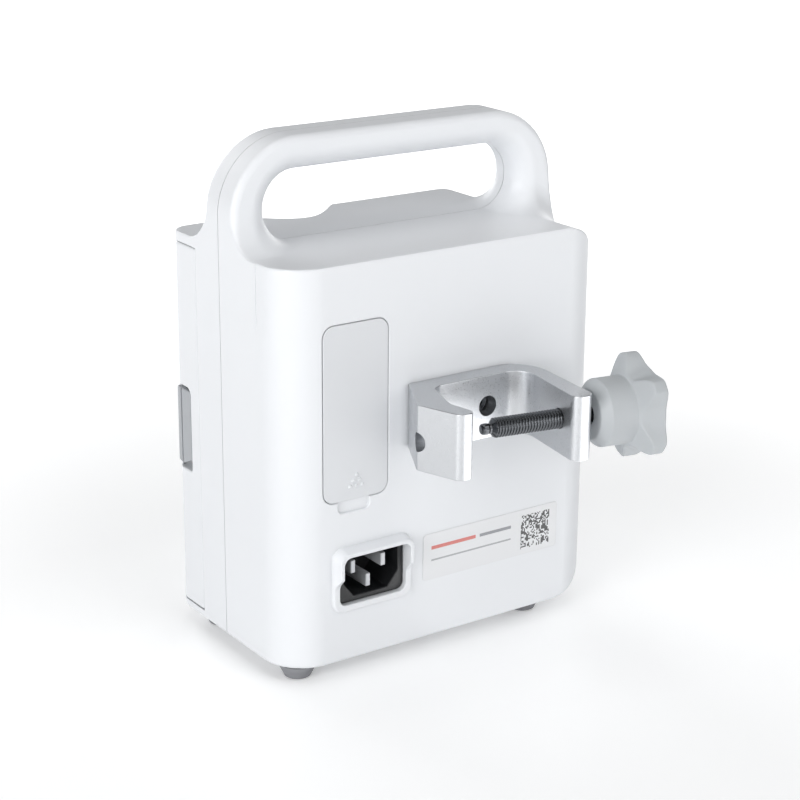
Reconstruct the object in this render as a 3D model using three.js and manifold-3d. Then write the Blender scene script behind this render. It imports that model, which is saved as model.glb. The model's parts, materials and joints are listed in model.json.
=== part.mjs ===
// Volumetric infusion pump with a carrying handle, a pole clamp and a mains inlet.
// Millimetres. +Z up, X across the width, the door faces -Y and the pole clamp +Y.
// "Left" is -X, the hinge side; "right" is +X, the latch side.
// Pieces are drawn with the origin on the table plane under the middle of the housing;
// the whole pump is then shifted so that the origin is under the middle of its bounding box.
import * as THREE from "three";
import { mergeVertices } from "three/addons/utils/BufferGeometryUtils.js";
import Module from "manifold-3d";

const wasm = await Module();
wasm.setup();

// ---- driving dimensions ----------------------------------------------------
const HALF_W = 76.3; // half width of the housing
const BACK = 44; // rear panel
const FRONT = -44; // door front
const BOTTOM = 6; // underside of the housing (feet below)
const TOP = 166; // top of the housing
const R_LEFT_TOP = 21; // corners of the front outline on the hinge side
const R_LEFT_BOTTOM = 23;
const R_REAR = 17.3; // vertical edges at the rear
const R_FRONT = 9.5; // vertical edges at the front
const WALL = 2.5; // wall of the housing and the door
const SEAM = -3; // split plane of the two shells
const SEAM_GAP = 0.3;
const FACE = -21.1; // front face of the front shell behind the door
const PLATFORM = -31; // pump face, raised inside the door
const CAP_Z = 162.3; // underside of the cap over the door
const LIP_Z = 9.2; // top of the lip under the door
const DOOR_GAP = 0.4;
const DOOR_Z0 = LIP_Z + DOOR_GAP;
const DOOR_Z1 = CAP_Z - DOOR_GAP;
const TUBE_X = 18; // tube channel
const HINGE_Y = -25.9;
const KNUCKLE_R = 4.3;
const HINGE = [KNUCKLE_R - HALF_W, HINGE_Y]; // door hinge axis (X, Y)
const HINGE_BORE_R = 1.75;
const LUG_Z = [36, 128]; // undersides of the hinge lugs
const LUG_HEIGHT = 6;
const ORIGIN_Y = 30.73; // bounding box centre behind the middle of the housing

// ---- outlines: lists of [u, v] points, rectangles as [uMin, uMax, vMin, vMax] -
const arc = ([u, v], radius, startDeg, endDeg, steps) =>
  Array.from({ length: steps + 1 }, (_, i) => {
    const angle = ((startDeg + ((endDeg - startDeg) * i) / steps) * Math.PI) / 180;
    return [u + radius * Math.cos(angle), v + radius * Math.sin(angle)];
  });
const inset = ([uMin, uMax, vMin, vMax], by) => [uMin + by, uMax - by, vMin + by, vMax - by];
const rectAbout = ([u, v], halfU, halfV) => [u - halfU, u + halfU, v - halfV, v + halfV];
// One radius, or one per corner: [low u low v, high u low v, high u high v, low u high v].
function roundedRect([uMin, uMax, vMin, vMax], radius, steps = 4) {
  const radii = Array.isArray(radius) ? radius : Array(4).fill(radius);
  return radii.flatMap((r, i) => {
    const centre = [
      i === 0 || i === 3 ? uMin + r : uMax - r,
      i < 2 ? vMin + r : vMax - r,
    ];
    const start = 180 + 90 * i;
    return r > 0 ? arc(centre, r, start, start + 90, steps) : [centre];
  });
}
// Thins the points of nearly sharp corners.
const withoutRepeats = (points) => points.filter((point, i) =>
  i === 0 || Math.hypot(point[0] - points[i - 1][0], point[1] - points[i - 1][1]) > 0.05);

// ---- solids ----------------------------------------------------------------
const fromPositions = (positions) => new THREE.BufferGeometry()
  .setAttribute("position", new THREE.BufferAttribute(new Float32Array(positions), 3));
const cornersOf = (geometry) =>
  (geometry.index ? geometry.toNonIndexed() : geometry).getAttribute("position").array;
function solid(geometry) {
  const merged = mergeVertices(fromPositions(cornersOf(geometry)), 1e-4);
  return new wasm.Manifold(new wasm.Mesh({
    numProp: 3,
    vertProperties: new Float32Array(merged.attributes.position.array),
    triVerts: new Uint32Array(merged.index.array),
  }));
}
// Solid whose triangles are turned over if they face inwards.
function facingOut(geometry) {
  const first = solid(geometry);
  if (first.volume() >= 0) return first;
  const flipped = cornersOf(geometry).slice();
  for (let i = 0; i < flipped.length; i += 9)
    for (let k = i + 3; k < i + 6; k++) [flipped[k], flipped[k + 3]] = [flipped[k + 3], flipped[k]];
  return solid(fromPositions(flipped));
}
const join = (...parts) => parts.reduce((whole, part) => whole.add(part));
const cut = (body, ...tools) => tools.reduce((rest, tool) => rest.subtract(tool), body);

function box(xMin, xMax, yMin, yMax, zMin, zMax) {
  const geometry = new THREE.BoxGeometry(xMax - xMin, yMax - yMin, zMax - zMin);
  geometry.translate((xMin + xMax) / 2, (yMin + yMax) / 2, (zMin + zMax) / 2);
  return solid(geometry);
}
// Box wider than the pump.
const layer = (yMin, yMax, zMin, zMax) => box(-90, 90, yMin, yMax, zMin, zMax);

const vector = (x, y, z) => new THREE.Vector3(x, y, z);
// Turns of an extrusion (u, v, depth) to each prism axis.
const TURN = {
  z: new THREE.Matrix4(),
  y: new THREE.Matrix4().makeRotationX(Math.PI / 2), // to (x, z, -y)
  x: new THREE.Matrix4().makeBasis(vector(0, 1, 0), vector(0, 0, 1), vector(1, 0, 0)),
};
function extrude(points, depth) {
  const shape = new THREE.Shape(points.map(([u, v]) => new THREE.Vector2(u, v)));
  return new THREE.ExtrudeGeometry(shape, { depth, bevelEnabled: false, steps: 1 });
}
// Straight prism. axis z: outline in XY; y: outline in XZ; x: outline in YZ.
function prism(points, axis, from, to) {
  const geometry = extrude(points, to - from);
  geometry.applyMatrix4(TURN[axis]);
  geometry.translate(...{ x: [from, 0, 0], y: [0, to, 0], z: [0, 0, from] }[axis]);
  return solid(geometry);
}
// Rounded plate lying in XZ.
const plate = (rect, from, to, radius = 0, steps = 4) =>
  prism(roundedRect(rect, radius, steps), "y", from, to);
const disc = (axis, centre, radius, from, to, sides = 24) =>
  prism(arc(centre, radius, 0, 360, sides).slice(0, sides), axis, from, to);

// Solid through a row of convex outlines in XZ, each at its own y.
function loft(rings) {
  const count = rings[0].points.length;
  const corner = ({ y, points }, i) => [points[i % count][0], y, points[i % count][1]];
  const positions = [];
  for (let r = 0; r + 1 < rings.length; r++) {
    const near = rings[r];
    const far = rings[r + 1];
    for (let i = 0; i < count; i++) {
      positions.push(...corner(near, i), ...corner(near, i + 1), ...corner(far, i));
      positions.push(...corner(near, i + 1), ...corner(far, i + 1), ...corner(far, i));
    }
  }
  const addCap = (ring, first, second) => {
    const mean = (k) => ring.points.reduce((sum, point) => sum + point[k], 0) / count;
    const middle = [mean(0), ring.y, mean(1)];
    for (let i = 0; i < count; i++)
      positions.push(...middle, ...corner(ring, i + first), ...corner(ring, i + second));
  };
  addCap(rings[0], 1, 0);
  addCap(rings.at(-1), 0, 1);
  return facingOut(fromPositions(positions));
}

// ---- scene graph and materials ---------------------------------------------
const pump = new THREE.Group();
pump.name = "infusion_pump";
const groups = {};
function group(name) {
  if (!groups[name]) {
    groups[name] = new THREE.Group();
    groups[name].name = name;
    pump.add(groups[name]);
  }
  return groups[name];
}
function put(groupName, name, body, material) {
  const { vertProperties, triVerts } = body.getMesh();
  const geometry = fromPositions(vertProperties).setIndex(new THREE.BufferAttribute(triVerts, 1));
  geometry.computeVertexNormals();
  const mesh = new THREE.Mesh(geometry, material);
  mesh.name = name;
  group(groupName).add(mesh);
}

const paint = ({ color, roughness = 0.5, metalness = 0 }) =>
  new THREE.MeshStandardMaterial({ color, roughness, metalness });
const white = paint({ color: 0xe9ebee, roughness: 0.42 });
const lightGrey = paint({ color: 0xd9dbde, roughness: 0.45 });
const grey = paint({ color: 0xb0b5b8 });
const black = paint({ color: 0x151617, roughness: 0.45 });
const steel = paint({ color: 0xb8bbbe, roughness: 0.3, metalness: 1 });
const aluminium = paint({ color: 0xb4b7ba, roughness: 0.38, metalness: 0.9 });
const darkSteel = paint({ color: 0x3a3b3c, roughness: 0.35, metalness: 0.9 });
const rubber = paint({ color: 0x66686c, roughness: 0.8 });
const boardGreen = paint({ color: 0x1f6b3c });
const brass = paint({ color: 0xcaa04a, roughness: 0.35, metalness: 0.9 });
const batteryBlue = paint({ color: 0x2c3e63 });
const labelPaper = paint({ color: 0xe6e4df, roughness: 0.6 });
const fingerPlastic = paint({ color: 0xdfe1e2, roughness: 0.4 });
const beltRubber = paint({ color: 0x202122, roughness: 0.7 });
const windowBlack = paint({ color: 0x0f1114, roughness: 0.1 });
const displayGrey = paint({ color: 0x2a2d31, roughness: 0.4 });
const startGreen = paint({ color: 0x3a9a5b });
const stopRed = paint({ color: 0xc8503c });

// ---- housing body and handle -----------------------------------------------
// Front outline in XZ, inset by a distance.
const frontOutline = (by) => withoutRepeats(roundedRect(
  inset([-HALF_W, HALF_W, BOTTOM, TOP], by),
  [R_LEFT_BOTTOM - by, 0.01, 0.01, R_LEFT_TOP - by], 8));
function bodyBlock(by, yMin, yMax, rFront, rRear) {
  const plan = roundedRect([-HALF_W + by, HALF_W - by, yMin, yMax],
    [rFront, rFront, rRear, rRear], 7);
  return prism(frontOutline(by), "y", yMin - 1, yMax + 1).intersect(prism(plan, "z", 0, 170));
}

const HANDLE_TOP = 208;
const HANDLE_HALF_Y = 11; // the handle is centred on the seam
const HANDLE_Y0 = SEAM - HANDLE_HALF_Y;
const HANDLE_Y1 = SEAM + HANDLE_HALF_Y;
const HANDLE_R = 30; // outer corner
const GRIP_HALF = 59.6; // opening under the grip
const GRIP_Z1 = 194;
const GRIP_FLARE = 9; // rounding of the opening's edges
const GRIP_STRAIGHT = 3.5; // unflared distance either side of the seam
const GRIP_STATIONS = [GRIP_STRAIGHT, 7, 9.4, HANDLE_HALF_Y, 60]; // distances from the seam
const ROOT_R = 13.6; // fillet where the handle meets the top
const ROOT_STEPS = [0, 0.15, 0.35, 0.6, 0.85, 1];
const HANDLE_WALL = 3; // across the loop
const HANDLE_WALL_Y = 6; // front and rear
const CORE_R = 14; // corner of the core above the opening

// Fillet from a handle face at y down to the housing top, towards +Y or -Y.
function handleRoot(y, direction) {
  const rings = ROOT_STEPS.map((step) => {
    const out = ROOT_R * step;
    const rise = ROOT_R - Math.sqrt(Math.max(0, ROOT_R ** 2 - (ROOT_R - out) ** 2));
    const rect = [-HALF_W - rise, HALF_W + rise, 120, TOP + rise];
    return {
      y: y + direction * out,
      points: roundedRect(rect, [0.02, 0.02, 0.02, R_LEFT_TOP + rise], 8),
    };
  });
  return loft(direction > 0 ? rings : rings.reverse());
}
function handle() {
  const loop = plate([-HALF_W, HALF_W, 130, HANDLE_TOP], HANDLE_Y0, HANDLE_Y1,
    [0, 0, HANDLE_R, HANDLE_R], 9);
  const roots = join(handleRoot(HANDLE_Y1, 1), handleRoot(HANDLE_Y0, -1));
  return loop.add(roots.intersect(box(-HALF_W, HALF_W, -60, 60, 120, HANDLE_TOP)));
}
// Opening under the grip, flared towards both faces.
function gripOpening() {
  const offsets = [...GRIP_STATIONS.map((offset) => -offset).reverse(), ...GRIP_STATIONS];
  return loft(offsets.map((offset) => {
    const past = Math.min(Math.abs(offset), HANDLE_HALF_Y) - GRIP_STRAIGHT;
    const flare = GRIP_FLARE * (1 - Math.sqrt(1 - (past / GRIP_FLARE) ** 2));
    const rect = [-GRIP_HALF - flare, GRIP_HALF + flare, TOP, GRIP_Z1 + flare];
    // just under a half circle
    return { y: SEAM + offset, points: roundedRect(rect, (rect[3] - TOP) / 2 - 0.05, 6) };
  }));
}
// Hollow inside the handle.
function handleHollow() {
  const radius = HANDLE_R - HANDLE_WALL;
  const halfGrip = GRIP_HALF + HANDLE_WALL;
  return cut(
    plate([-HALF_W + HANDLE_WALL, HALF_W - HANDLE_WALL, 150, HANDLE_TOP - HANDLE_WALL],
      HANDLE_Y0 + HANDLE_WALL_Y, HANDLE_Y1 - HANDLE_WALL_Y, [0, 0, radius, radius], 6),
    plate([-halfGrip, halfGrip, 100, GRIP_Z1 + HANDLE_WALL], -60, 60, [0, 0, CORE_R, CORE_R], 5));
}

const outer = bodyBlock(0, FRONT, BACK, R_FRONT, R_REAR).add(handle()).subtract(gripOpening());
const inner = bodyBlock(WALL, FACE + WALL, BACK - WALL, 1, R_REAR - WALL);
const handleCore = handleHollow();

// ---- front shell -----------------------------------------------------------
const PLATFORM_RECT = [-58, 64, 16, 156];
const PLATFORM_WALL = 2.4;
const PUMP_MID = [TUBE_X, 90]; // middle of the pump mechanism (X, Z)
const BUBBLE_SENSOR = [TUBE_X, 33]; // sensors on the platform (X, Z)
const PRESSURE_SENSOR = [TUBE_X, 144];
const LUG_R = 3.2;

const BELL_X = 20.5; // middle of the bell-shaped tube entry
const BELL_UNIT = 20.5; // X length of one bell station unit
const BELL_STATIONS = [-1.36, -1.2, -1.08, -0.96, -0.8, -0.6, -0.35, 0,
  0.35, 0.6, 0.8, 0.96, 1.08, 1.2, 1.36];
// Bell-shaped notch in the cap, open to the front.
function tubeEntry() {
  const bell = BELL_STATIONS.map((station) => {
    const wave = Math.cos((station * Math.PI) / 2);
    return [BELL_X + BELL_UNIT * station, -44.4 + 7.0 * (wave + Math.sqrt(wave * wave + 0.0144))];
  });
  return prism([[BELL_X - 28, -46], ...bell, [BELL_X + 28, -46]], "z", 160, 170);
}
// Round-ended notch in the lip.
function tubeExit() {
  const radius = 4.4;
  const end = arc([TUBE_X, -35], radius, 180, 0, 8);
  return prism([[TUBE_X - radius, -46], ...end, [TUBE_X + radius, -46]], "z", 0, 9.5);
}
function hingeLug(z) {
  const top = z + LUG_HEIGHT;
  return cut(
    join(
      disc("z", HINGE, LUG_R, z, top, 16),
      box(HINGE[0] - LUG_R, HINGE[0] + LUG_R, HINGE_Y, FACE + 0.5, z, top)),
    disc("z", HINGE, HINGE_BORE_R, z - 1, top + 1, 16));
}
function frontHousing() {
  const platform = plate(PLATFORM_RECT, PLATFORM, 0, 4, 3);
  const shell = cut(
    outer.intersect(layer(-60, SEAM - SEAM_GAP / 2, 0, 220)),
    layer(-60, FACE, LIP_Z, CAP_Z).subtract(platform), // bay for the door
    plate(inset(PLATFORM_RECT, PLATFORM_WALL), PLATFORM + PLATFORM_WALL, FACE + 6, 2, 2),
    inner, handleCore, tubeEntry(), tubeExit(),
    // window for the pump fingers and holes for the sensors
    plate(rectAbout(PUMP_MID, 8.5, 36), -32, -27),
    plate(rectAbout(BUBBLE_SENSOR, 10, 7), -32, -27),
    disc("y", PRESSURE_SENSOR, 6.3, -32, -27));
  const striker = box(63, 66.2, -27, FACE + 0.5, 78, 92); // for the door latch
  return join(shell, ...LUG_Z.map(hingeLug), striker);
}
put("housing", "front_housing", frontHousing(), white);

// ---- rear shell ------------------------------------------------------------
const COVER_RECESS = [29.9, 59.8, 72.7, 143.5]; // battery cover recess (X, Z)
const HOOD = [19.1, 56.1, 26.9, 54.1]; // hood round the mains inlet (X, Z)
const INLET_OPENING = inset(HOOD, 2.9);
const MOUNTS = [-11.0, 9.2].map((x) => [x, 102.6]); // screws that hold the clamp (X, Z)
const SPEAKER = [15, 42]; // speaker axis (Y, Z)

const mountHoles = (radius, from, to, sides = 16) =>
  join(...MOUNTS.map((centre) => disc("y", centre, radius, from, to, sides)));

// Raised hood with a tall upper part and a low lower part.
function inletHood() {
  // [behind the rear panel, z]
  const removed = [[1.5, 20], [1.5, 38.5], [5, 42.4], [8, 42.4], [8, 20]];
  return cut(
    loft([
      { y: BACK - 0.5, points: roundedRect(HOOD, 5) },
      { y: BACK + 5, points: roundedRect(inset(HOOD, 1.4), 3.9) },
    ]),
    prism(removed.map(([y, z]) => [BACK + y, z]), "x", 10, 60));
}
function rearHousing() {
  const notch = withoutRepeats(roundedRect([38.5, 53, 68, 72.8], [2.4, 2.4, 0.01, 0.01]));
  const shell = cut(
    outer.intersect(layer(SEAM + SEAM_GAP / 2, 60, 0, 220)), inner, handleCore,
    // battery bay: cover recess, opening, finger notch
    plate(COVER_RECESS, BACK - 1.6, BACK + 1, 5),
    plate(inset(COVER_RECESS, 2.5), BACK - 4, BACK + 1, 3, 3),
    prism(notch, "y", BACK - 1.6, BACK + 1));
  const speakerSlots = Array.from({ length: 5 }, (_, i) => {
    const z = 32 + i * 5;
    return box(-80, -70, SPEAKER[0] - 12, SPEAKER[0] + 12, z, z + 2.2);
  });
  return cut(shell.add(inletHood()),
    plate(INLET_OPENING, BACK - 6, BACK + 8, 3),
    mountHoles(2.4, 30, 60), ...speakerSlots);
}
put("housing", "rear_housing", rearHousing(), white);

// ---- feet ------------------------------------------------------------------
const FOOT_R = 7.5;
const FOOT_TIP_R = 5.6;
const FEET = [ // name, x, y
  ["foot_front_right", 65.5, -26], ["foot_front_left", -47.5, -26],
  ["foot_rear_right", 65.5, 33.5], ["foot_rear_left", -47.5, 32],
];
function foot(x, y) {
  const frustum = (lowerR, zMin, zMax) => {
    const geometry = new THREE.CylinderGeometry(FOOT_R, lowerR, zMax - zMin, 20);
    geometry.rotateX(Math.PI / 2);
    geometry.translate(x, y, (zMin + zMax) / 2);
    return solid(geometry);
  };
  return join(frustum(FOOT_TIP_R, 0, 4.4), frustum(FOOT_R, 4.4, 5.7));
}
for (const [name, x, y] of FEET) put("housing", name, foot(x, y), rubber);

// ---- battery and its cover -------------------------------------------------
const COVER_STUDS = [ // x, z
  [44.5, 82.8], [46, 80.6], [43.3, 80.6], [47.5, 78.3], [44.8, 78.3], [42.1, 78.3],
];
const batteryCover = () => join(
  plate(inset(COVER_RECESS, 0.3), BACK - 1.3, BACK, 4.7),
  ...COVER_STUDS.map((centre) => disc("y", centre, 0.8, BACK - 0.5, BACK + 0.45, 8)),
  ...[36, 52].map((x) => box(x, x + 2, BACK - 2.6, BACK - 1.2, 78, 138))); // inner ribs
const batteryContacts = () => join(
  plate([36, 54, 84, 130], 9.4, 11.4),
  ...[39, 47.5].map((x) => box(x, x + 3, 11, 13.6, 90, 124)));
put("battery_cover", "battery_cover", batteryCover(), lightGrey);
put("housing", "battery_pack", plate([33.2, 56.5, 77, 139], 14, 39.2, 3, 3), batteryBlue);
put("housing", "battery_contacts", batteryContacts(), brass);

// ---- mains inlet -----------------------------------------------------------
const PINS = [ // name, [x, z]
  ["inlet_pin_line", [44.6, 43.6]],
  ["inlet_pin_neutral", [30.5, 43.6]],
  ["inlet_pin_earth", [37.6, 36.5]],
];
const PIN_HALF_X = 1.1;
const PIN_HALF_Z = 2.7;
const INLET_CAVITY = [ // x, z
  [24.7, 38.4], [29.7, 32.3], [45.4, 32.3], [49.9, 37.9], [49.9, 49.3], [24.7, 49.3],
];
const mainsInlet = () => cut(
  join(
    plate(inset(INLET_OPENING, 0.3), 39.6, 43.4, 2.8, 3),
    plate([23.3, 51.3, 31.0, 50.5], 22, 39.7, 1.2, 2)),
  prism(INLET_CAVITY, "y", 25.5, 45),
  // slots that hold the pins
  ...PINS.map(([, at]) => plate(rectAbout(at, PIN_HALF_X + 0.15, PIN_HALF_Z + 0.25), 20, 27)));
function inletPin([x, z]) {
  const tip = [[40.8, z - PIN_HALF_Z], [41.6, z - 2.3], [41.6, z + 2.3], [40.8, z + PIN_HALF_Z]];
  return join(
    plate(rectAbout([x, z], PIN_HALF_X, PIN_HALF_Z), 18, 40.9),
    prism(tip, "x", x - PIN_HALF_X, x + PIN_HALF_X));
}
put("housing", "mains_inlet", mainsInlet(), black);
for (const [name, at] of PINS) put("housing", name, inletPin(at), steel);
put("housing", "rating_label",
  plate([-55, 13, 30.6, 50.4], BACK + 0.06, BACK + 0.26, 2, 3), labelPaper);

// ---- pole clamp ------------------------------------------------------------
const CLAMP_Y = BACK + 0.3; // front face of the bracket
const CLAMP_OUTLINE = [ // x, distance behind CLAMP_Y
  [-20.6, 0], [19.9, 0], [21.5, 1.1], [32.4, 21.6], [32.6, 24.1], [27.6, 39.0],
  ...arc([23.7, 38.4], 3.7, 12, 168, 6),
  [21.4, 31.0], [21.3, 26.6], [16.6, 12.1], [14.8, 9.6], [11.7, 8.5],
  [-20.6, 8.5], [-23.8, 9.3], [-26.2, 11.5], [-27.3, 14.5], [-27.1, 16.1], [-22.2, 44.6],
  ...arc([-26.3, 45.4], 4.2, -8, 164, 7),
  [-34.3, 15.6], [-34.2, 10.4], [-32.4, 5.6], [-28.9, 2.2], [-24.8, 0.6],
].map(([x, y]) => [x, CLAMP_Y + y]);
const SCREW_POINT = [0, 77.0, 103.2]; // a point on the clamp screw's axis
const SCREW_DIR = [-0.98418, 0.17715]; // X, Y from the tip to the knob
const SCREW_R = 3.9; // major radius of the thread
const SCREW_END = 44; // knob end of the rod along the axis

const screwFrame = new THREE.Matrix4().makeBasis(
  vector(SCREW_DIR[1], -SCREW_DIR[0], 0),
  vector(...SCREW_DIR, 0),
  vector(0, 0, 1),
).setPosition(...SCREW_POINT);
// Body of revolution about the screw's axis, closed at both ends;
// profile of [distance along the axis, radius].
function turned(profile, sides) {
  const closed = [[profile[0][0], 0], ...profile, [profile.at(-1)[0], 0]];
  const points = closed.map(([along, radius]) => new THREE.Vector2(radius, along));
  return facingOut(new THREE.LatheGeometry(points, sides).applyMatrix4(screwFrame));
}
const screwCylinder = (radius, from, to, sides) => turned([[from, radius], [to, radius]], sides);

const clampBracket = () => cut(
  prism(CLAMP_OUTLINE, "z", 89.2, 115.2),
  screwCylinder(SCREW_R + 0.3, 18, 60, 20),
  mountHoles(4.2, CLAMP_Y + 1.2, CLAMP_Y + 14, 20),
  mountHoles(2.3, 40, 60),
  disc("x", [CLAMP_Y + 22.8, 100.5], 3.8, 26, 40, 20)); // round pocket in the right arm
const mountScrew = (centre) => cut(
  join(
    disc("y", centre, 3.8, CLAMP_Y + 1.3, CLAMP_Y + 2.9, 20),
    disc("y", centre, 2.0, 34, CLAMP_Y + 1.5, 16)),
  disc("y", centre, 1.7, CLAMP_Y + 2.0, CLAMP_Y + 5, 6)); // hexagon socket
put("housing", "clamp_bracket", clampBracket(), aluminium);
["left", "right"].forEach((side, i) =>
  put("housing", "clamp_mount_screw_" + side, mountScrew(MOUNTS[i]), darkSteel));
put("housing", "clamp_backing_plate",
  cut(plate([-28, 25, 90, 115], 37.6, 41.0), mountHoles(2.3, 30, 60)), steel);

// Pressure tip: does not turn; the screw turns in it.
put("clamp_tip", "clamp_screw_tip", turned([[-9.6, 1.6], [-9.0, 2.2], [-6.6, 2.2]], 16), darkSteel);
const rodProfile = [[-6.3, 2.0], [-5.6, 2.0], [-4.2, SCREW_R], [SCREW_END, SCREW_R]];
put("clamp_screw", "clamp_screw_rod", turned(rodProfile, 20), darkSteel);

const STAR_POINTS = 75;
const STAR_LOBES = 5;
const STAR_PHASE = -0.665; // direction of the knob's first lobe, rad
const STAR_R = 16.0; // between the lobes
const LOBE_HEIGHT = 5.84;
const LOBE_SHARPNESS = 1.6;
function starPrism(from, to, scale) {
  const star = Array.from({ length: STAR_POINTS }, (_, i) => {
    const angle = (i / STAR_POINTS) * 2 * Math.PI;
    const wave = 0.5 + 0.5 * Math.cos(STAR_LOBES * (angle - STAR_PHASE));
    const radius = scale * (STAR_R + LOBE_HEIGHT * Math.pow(wave, LOBE_SHARPNESS));
    return [radius * Math.cos(angle), radius * Math.sin(angle)];
  });
  const geometry = extrude(star, to - from);
  geometry.rotateX(-Math.PI / 2);
  geometry.translate(0, from, 0);
  return solid(geometry.applyMatrix4(screwFrame));
}
function clampKnob() {
  const collar = turned([[36.9, 10], [40.6, 13.6], [53, 13.6]], 28);
  const taper = turned([[50.9, 12.1], [55.85, 23.1], [62, 23.1]], 40);
  return cut(
    join(collar, starPrism(50, 61.6, 1).intersect(taper), starPrism(61.5, 62.6, 0.94)),
    screwCylinder(SCREW_R + 0.25, 36, SCREW_END + 0.3, 20));
}
put("clamp_screw", "clamp_knob", clampKnob(), grey);

// ---- inner chassis and electronics -----------------------------------------
const BOARD_THICKNESS = 1.6;
const PART_SINK = 0.2; // overlap of a part with its board
// Board facing +Y with box-shaped parts of [xMin, xMax, yMax, zMin, zMax].
function circuitBoard(rect, y, parts) {
  const surface = y + BOARD_THICKNESS;
  return join(plate(rect, y, surface, 2, 2), ...parts.map(([xMin, xMax, yMax, zMin, zMax]) =>
    box(xMin, xMax, surface - PART_SINK, yMax, zMin, zMax)));
}
const MAIN_PARTS = [
  [-40, -20, 10.4, 96, 116], [-58, -48, 14, 70, 82], [-12, 2, 11, 120, 134], [4, 18, 10.6, 84, 92],
];
const POWER_PARTS = [
  [-26, -2, 34, 20, 44], [-50, -40, 33, 24, 38], [-38, -30, 30, 40, 50], [2, 10, 28, 22, 34],
];
const chassisPlate = () => cut(
  plate([-66, 66, 20, 152], 2.2, 3.8, 4, 2),
  plate([30, 60, 74, 146], 0, 6),
  plate([18, 58, 10, 56], 0, 6),
  disc("y", [-22, 45], 4, 0, 6, 12));
const speaker = () => cut(
  join(disc("x", SPEAKER, 12.5, -73.4, -70, 20), disc("x", SPEAKER, 7, -70.2, -64, 16)),
  disc("x", SPEAKER, 10.5, -74, -72.2, 20));
put("housing", "chassis_plate", chassisPlate(), steel);
put("housing", "main_board", circuitBoard([-64, 24, 62, 148], 7, MAIN_PARTS), boardGreen);
put("housing", "power_board", circuitBoard([-60, 14, 14, 56], 14, POWER_PARTS), boardGreen);
put("housing", "speaker", speaker(), black);

// ---- peristaltic pump ------------------------------------------------------
const CAM_Y = -16;
const CAM = [TUBE_X, CAM_Y]; // camshaft axis (X, Y)
const MOTOR = [-22, -13.5]; // motor axis (X, Y)
const CAM_OFFSET = 0.7; // eccentricity of the cams
const FINGER_COUNT = 6;
const FINGER_PITCH = 10.5;
const FINGER_Z = Array.from({ length: FINGER_COUNT }, (_, i) => 62 + i * FINGER_PITCH);
const FINGER_HALF = 3.3; // half the finger thickness
const PULLEY_Z = [25, 33];
const CAM_PULLEY_R = 9.6;
const MOTOR_PULLEY_R = 4.24;
const BELT_CLEARANCE = 0.35;
const BELT_THICKNESS = 1.55;

const pumpFrame = () => cut(
  plate(rectAbout(PUMP_MID, 16, 47), -27.9, -4.6),
  plate(rectAbout(PUMP_MID, 13, 43), -29, -7),
  disc("z", CAM, 5.4, 40, 140, 20));
function camshaft() {
  const cams = FINGER_Z.map((z, i) => {
    const angle = (i / FINGER_COUNT) * 2 * Math.PI;
    const centre = [TUBE_X + CAM_OFFSET * Math.cos(angle), CAM_Y + CAM_OFFSET * Math.sin(angle)];
    return disc("z", centre, 5.0, z - 2.8, z + 2.8, 20);
  });
  return join(disc("z", CAM, 2.5, 22.5, 139, 16), ...cams);
}
const bearing = (z) =>
  cut(disc("z", CAM, 5.1, z, z + 3.6, 20), disc("z", CAM, 2.8, z - 1, z + 5, 16));
// Ring round a cam with a tongue to the front.
function finger(z) {
  const zMin = z - FINGER_HALF;
  const zMax = z + FINGER_HALF;
  const ring = roundedRect([TUBE_X - 8.6, TUBE_X + 8.6, CAM_Y - 8.4, CAM_Y + 7.9], 5, 3);
  return cut(
    join(
      prism(ring, "z", zMin, zMax),
      box(TUBE_X - 6.5, TUBE_X + 6.5, -31.4, CAM_Y - 7, zMin, zMax)),
    disc("z", CAM, 6.9, z - 5, z + 5, 20));
}
put("housing", "pump_frame", pumpFrame(), aluminium);
put("camshaft", "camshaft", camshaft(), steel);
put("housing", "camshaft_bearing_lower", bearing(43.2), brass);
put("housing", "camshaft_bearing_upper", bearing(133.2), brass);
FINGER_Z.forEach((z, i) =>
  put("finger_" + (i + 1), "pump_finger_" + (i + 1), finger(z), fingerPlastic));

// Outline of the belt at a distance outside both pulleys.
function beltOutline(offset) {
  const motorR = MOTOR_PULLEY_R + offset;
  const camR = CAM_PULLEY_R + offset;
  const run = [CAM[0] - MOTOR[0], CAM[1] - MOTOR[1]];
  const toDegrees = 180 / Math.PI;
  const heading = Math.atan2(run[1], run[0]) * toDegrees;
  const tangent = Math.acos((motorR - camR) / Math.hypot(...run)) * toDegrees;
  return [
    ...arc(MOTOR, motorR, heading + tangent, heading + 360 - tangent, 18),
    ...arc(CAM, camR, heading - tangent, heading + tangent, 14),
  ];
}
const timingBelt = () => cut(
  prism(beltOutline(BELT_CLEARANCE + BELT_THICKNESS), "z", 26, 32),
  prism(beltOutline(BELT_CLEARANCE), "z", 20, 40));
const camPulley = () =>
  cut(disc("z", CAM, CAM_PULLEY_R, ...PULLEY_Z, 30), disc("z", CAM, 2.75, 20, 40, 16));
const motorBody = () => cut(
  prism(roundedRect(rectAbout(MOTOR, 13.8, 13.6), 3, 2), "z", 35.5, 66),
  disc("z", MOTOR, 2.9, 30, 60, 16));
const motorRotor = () => join(
  disc("z", MOTOR, MOTOR_PULLEY_R, ...PULLEY_Z), disc("z", MOTOR, 2.5, 32, 59, 16));
const bubbleSensor = () => cut(
  plate(rectAbout(BUBBLE_SENSOR, 9.6, 6.6), -35.8, -28.0, 1.5, 2),
  box(TUBE_X - 2.8, TUBE_X + 2.8, -40, -31, 20, 50)); // groove for the tube
const pressureSensor = () => join(
  disc("y", PRESSURE_SENSOR, 5.9, -31.2, -26, 20),
  disc("y", PRESSURE_SENSOR, 3.2, -26.2, -20, 16));
put("camshaft", "camshaft_pulley", camPulley(), aluminium);
put("housing", "stepper_motor", motorBody(), black);
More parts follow.
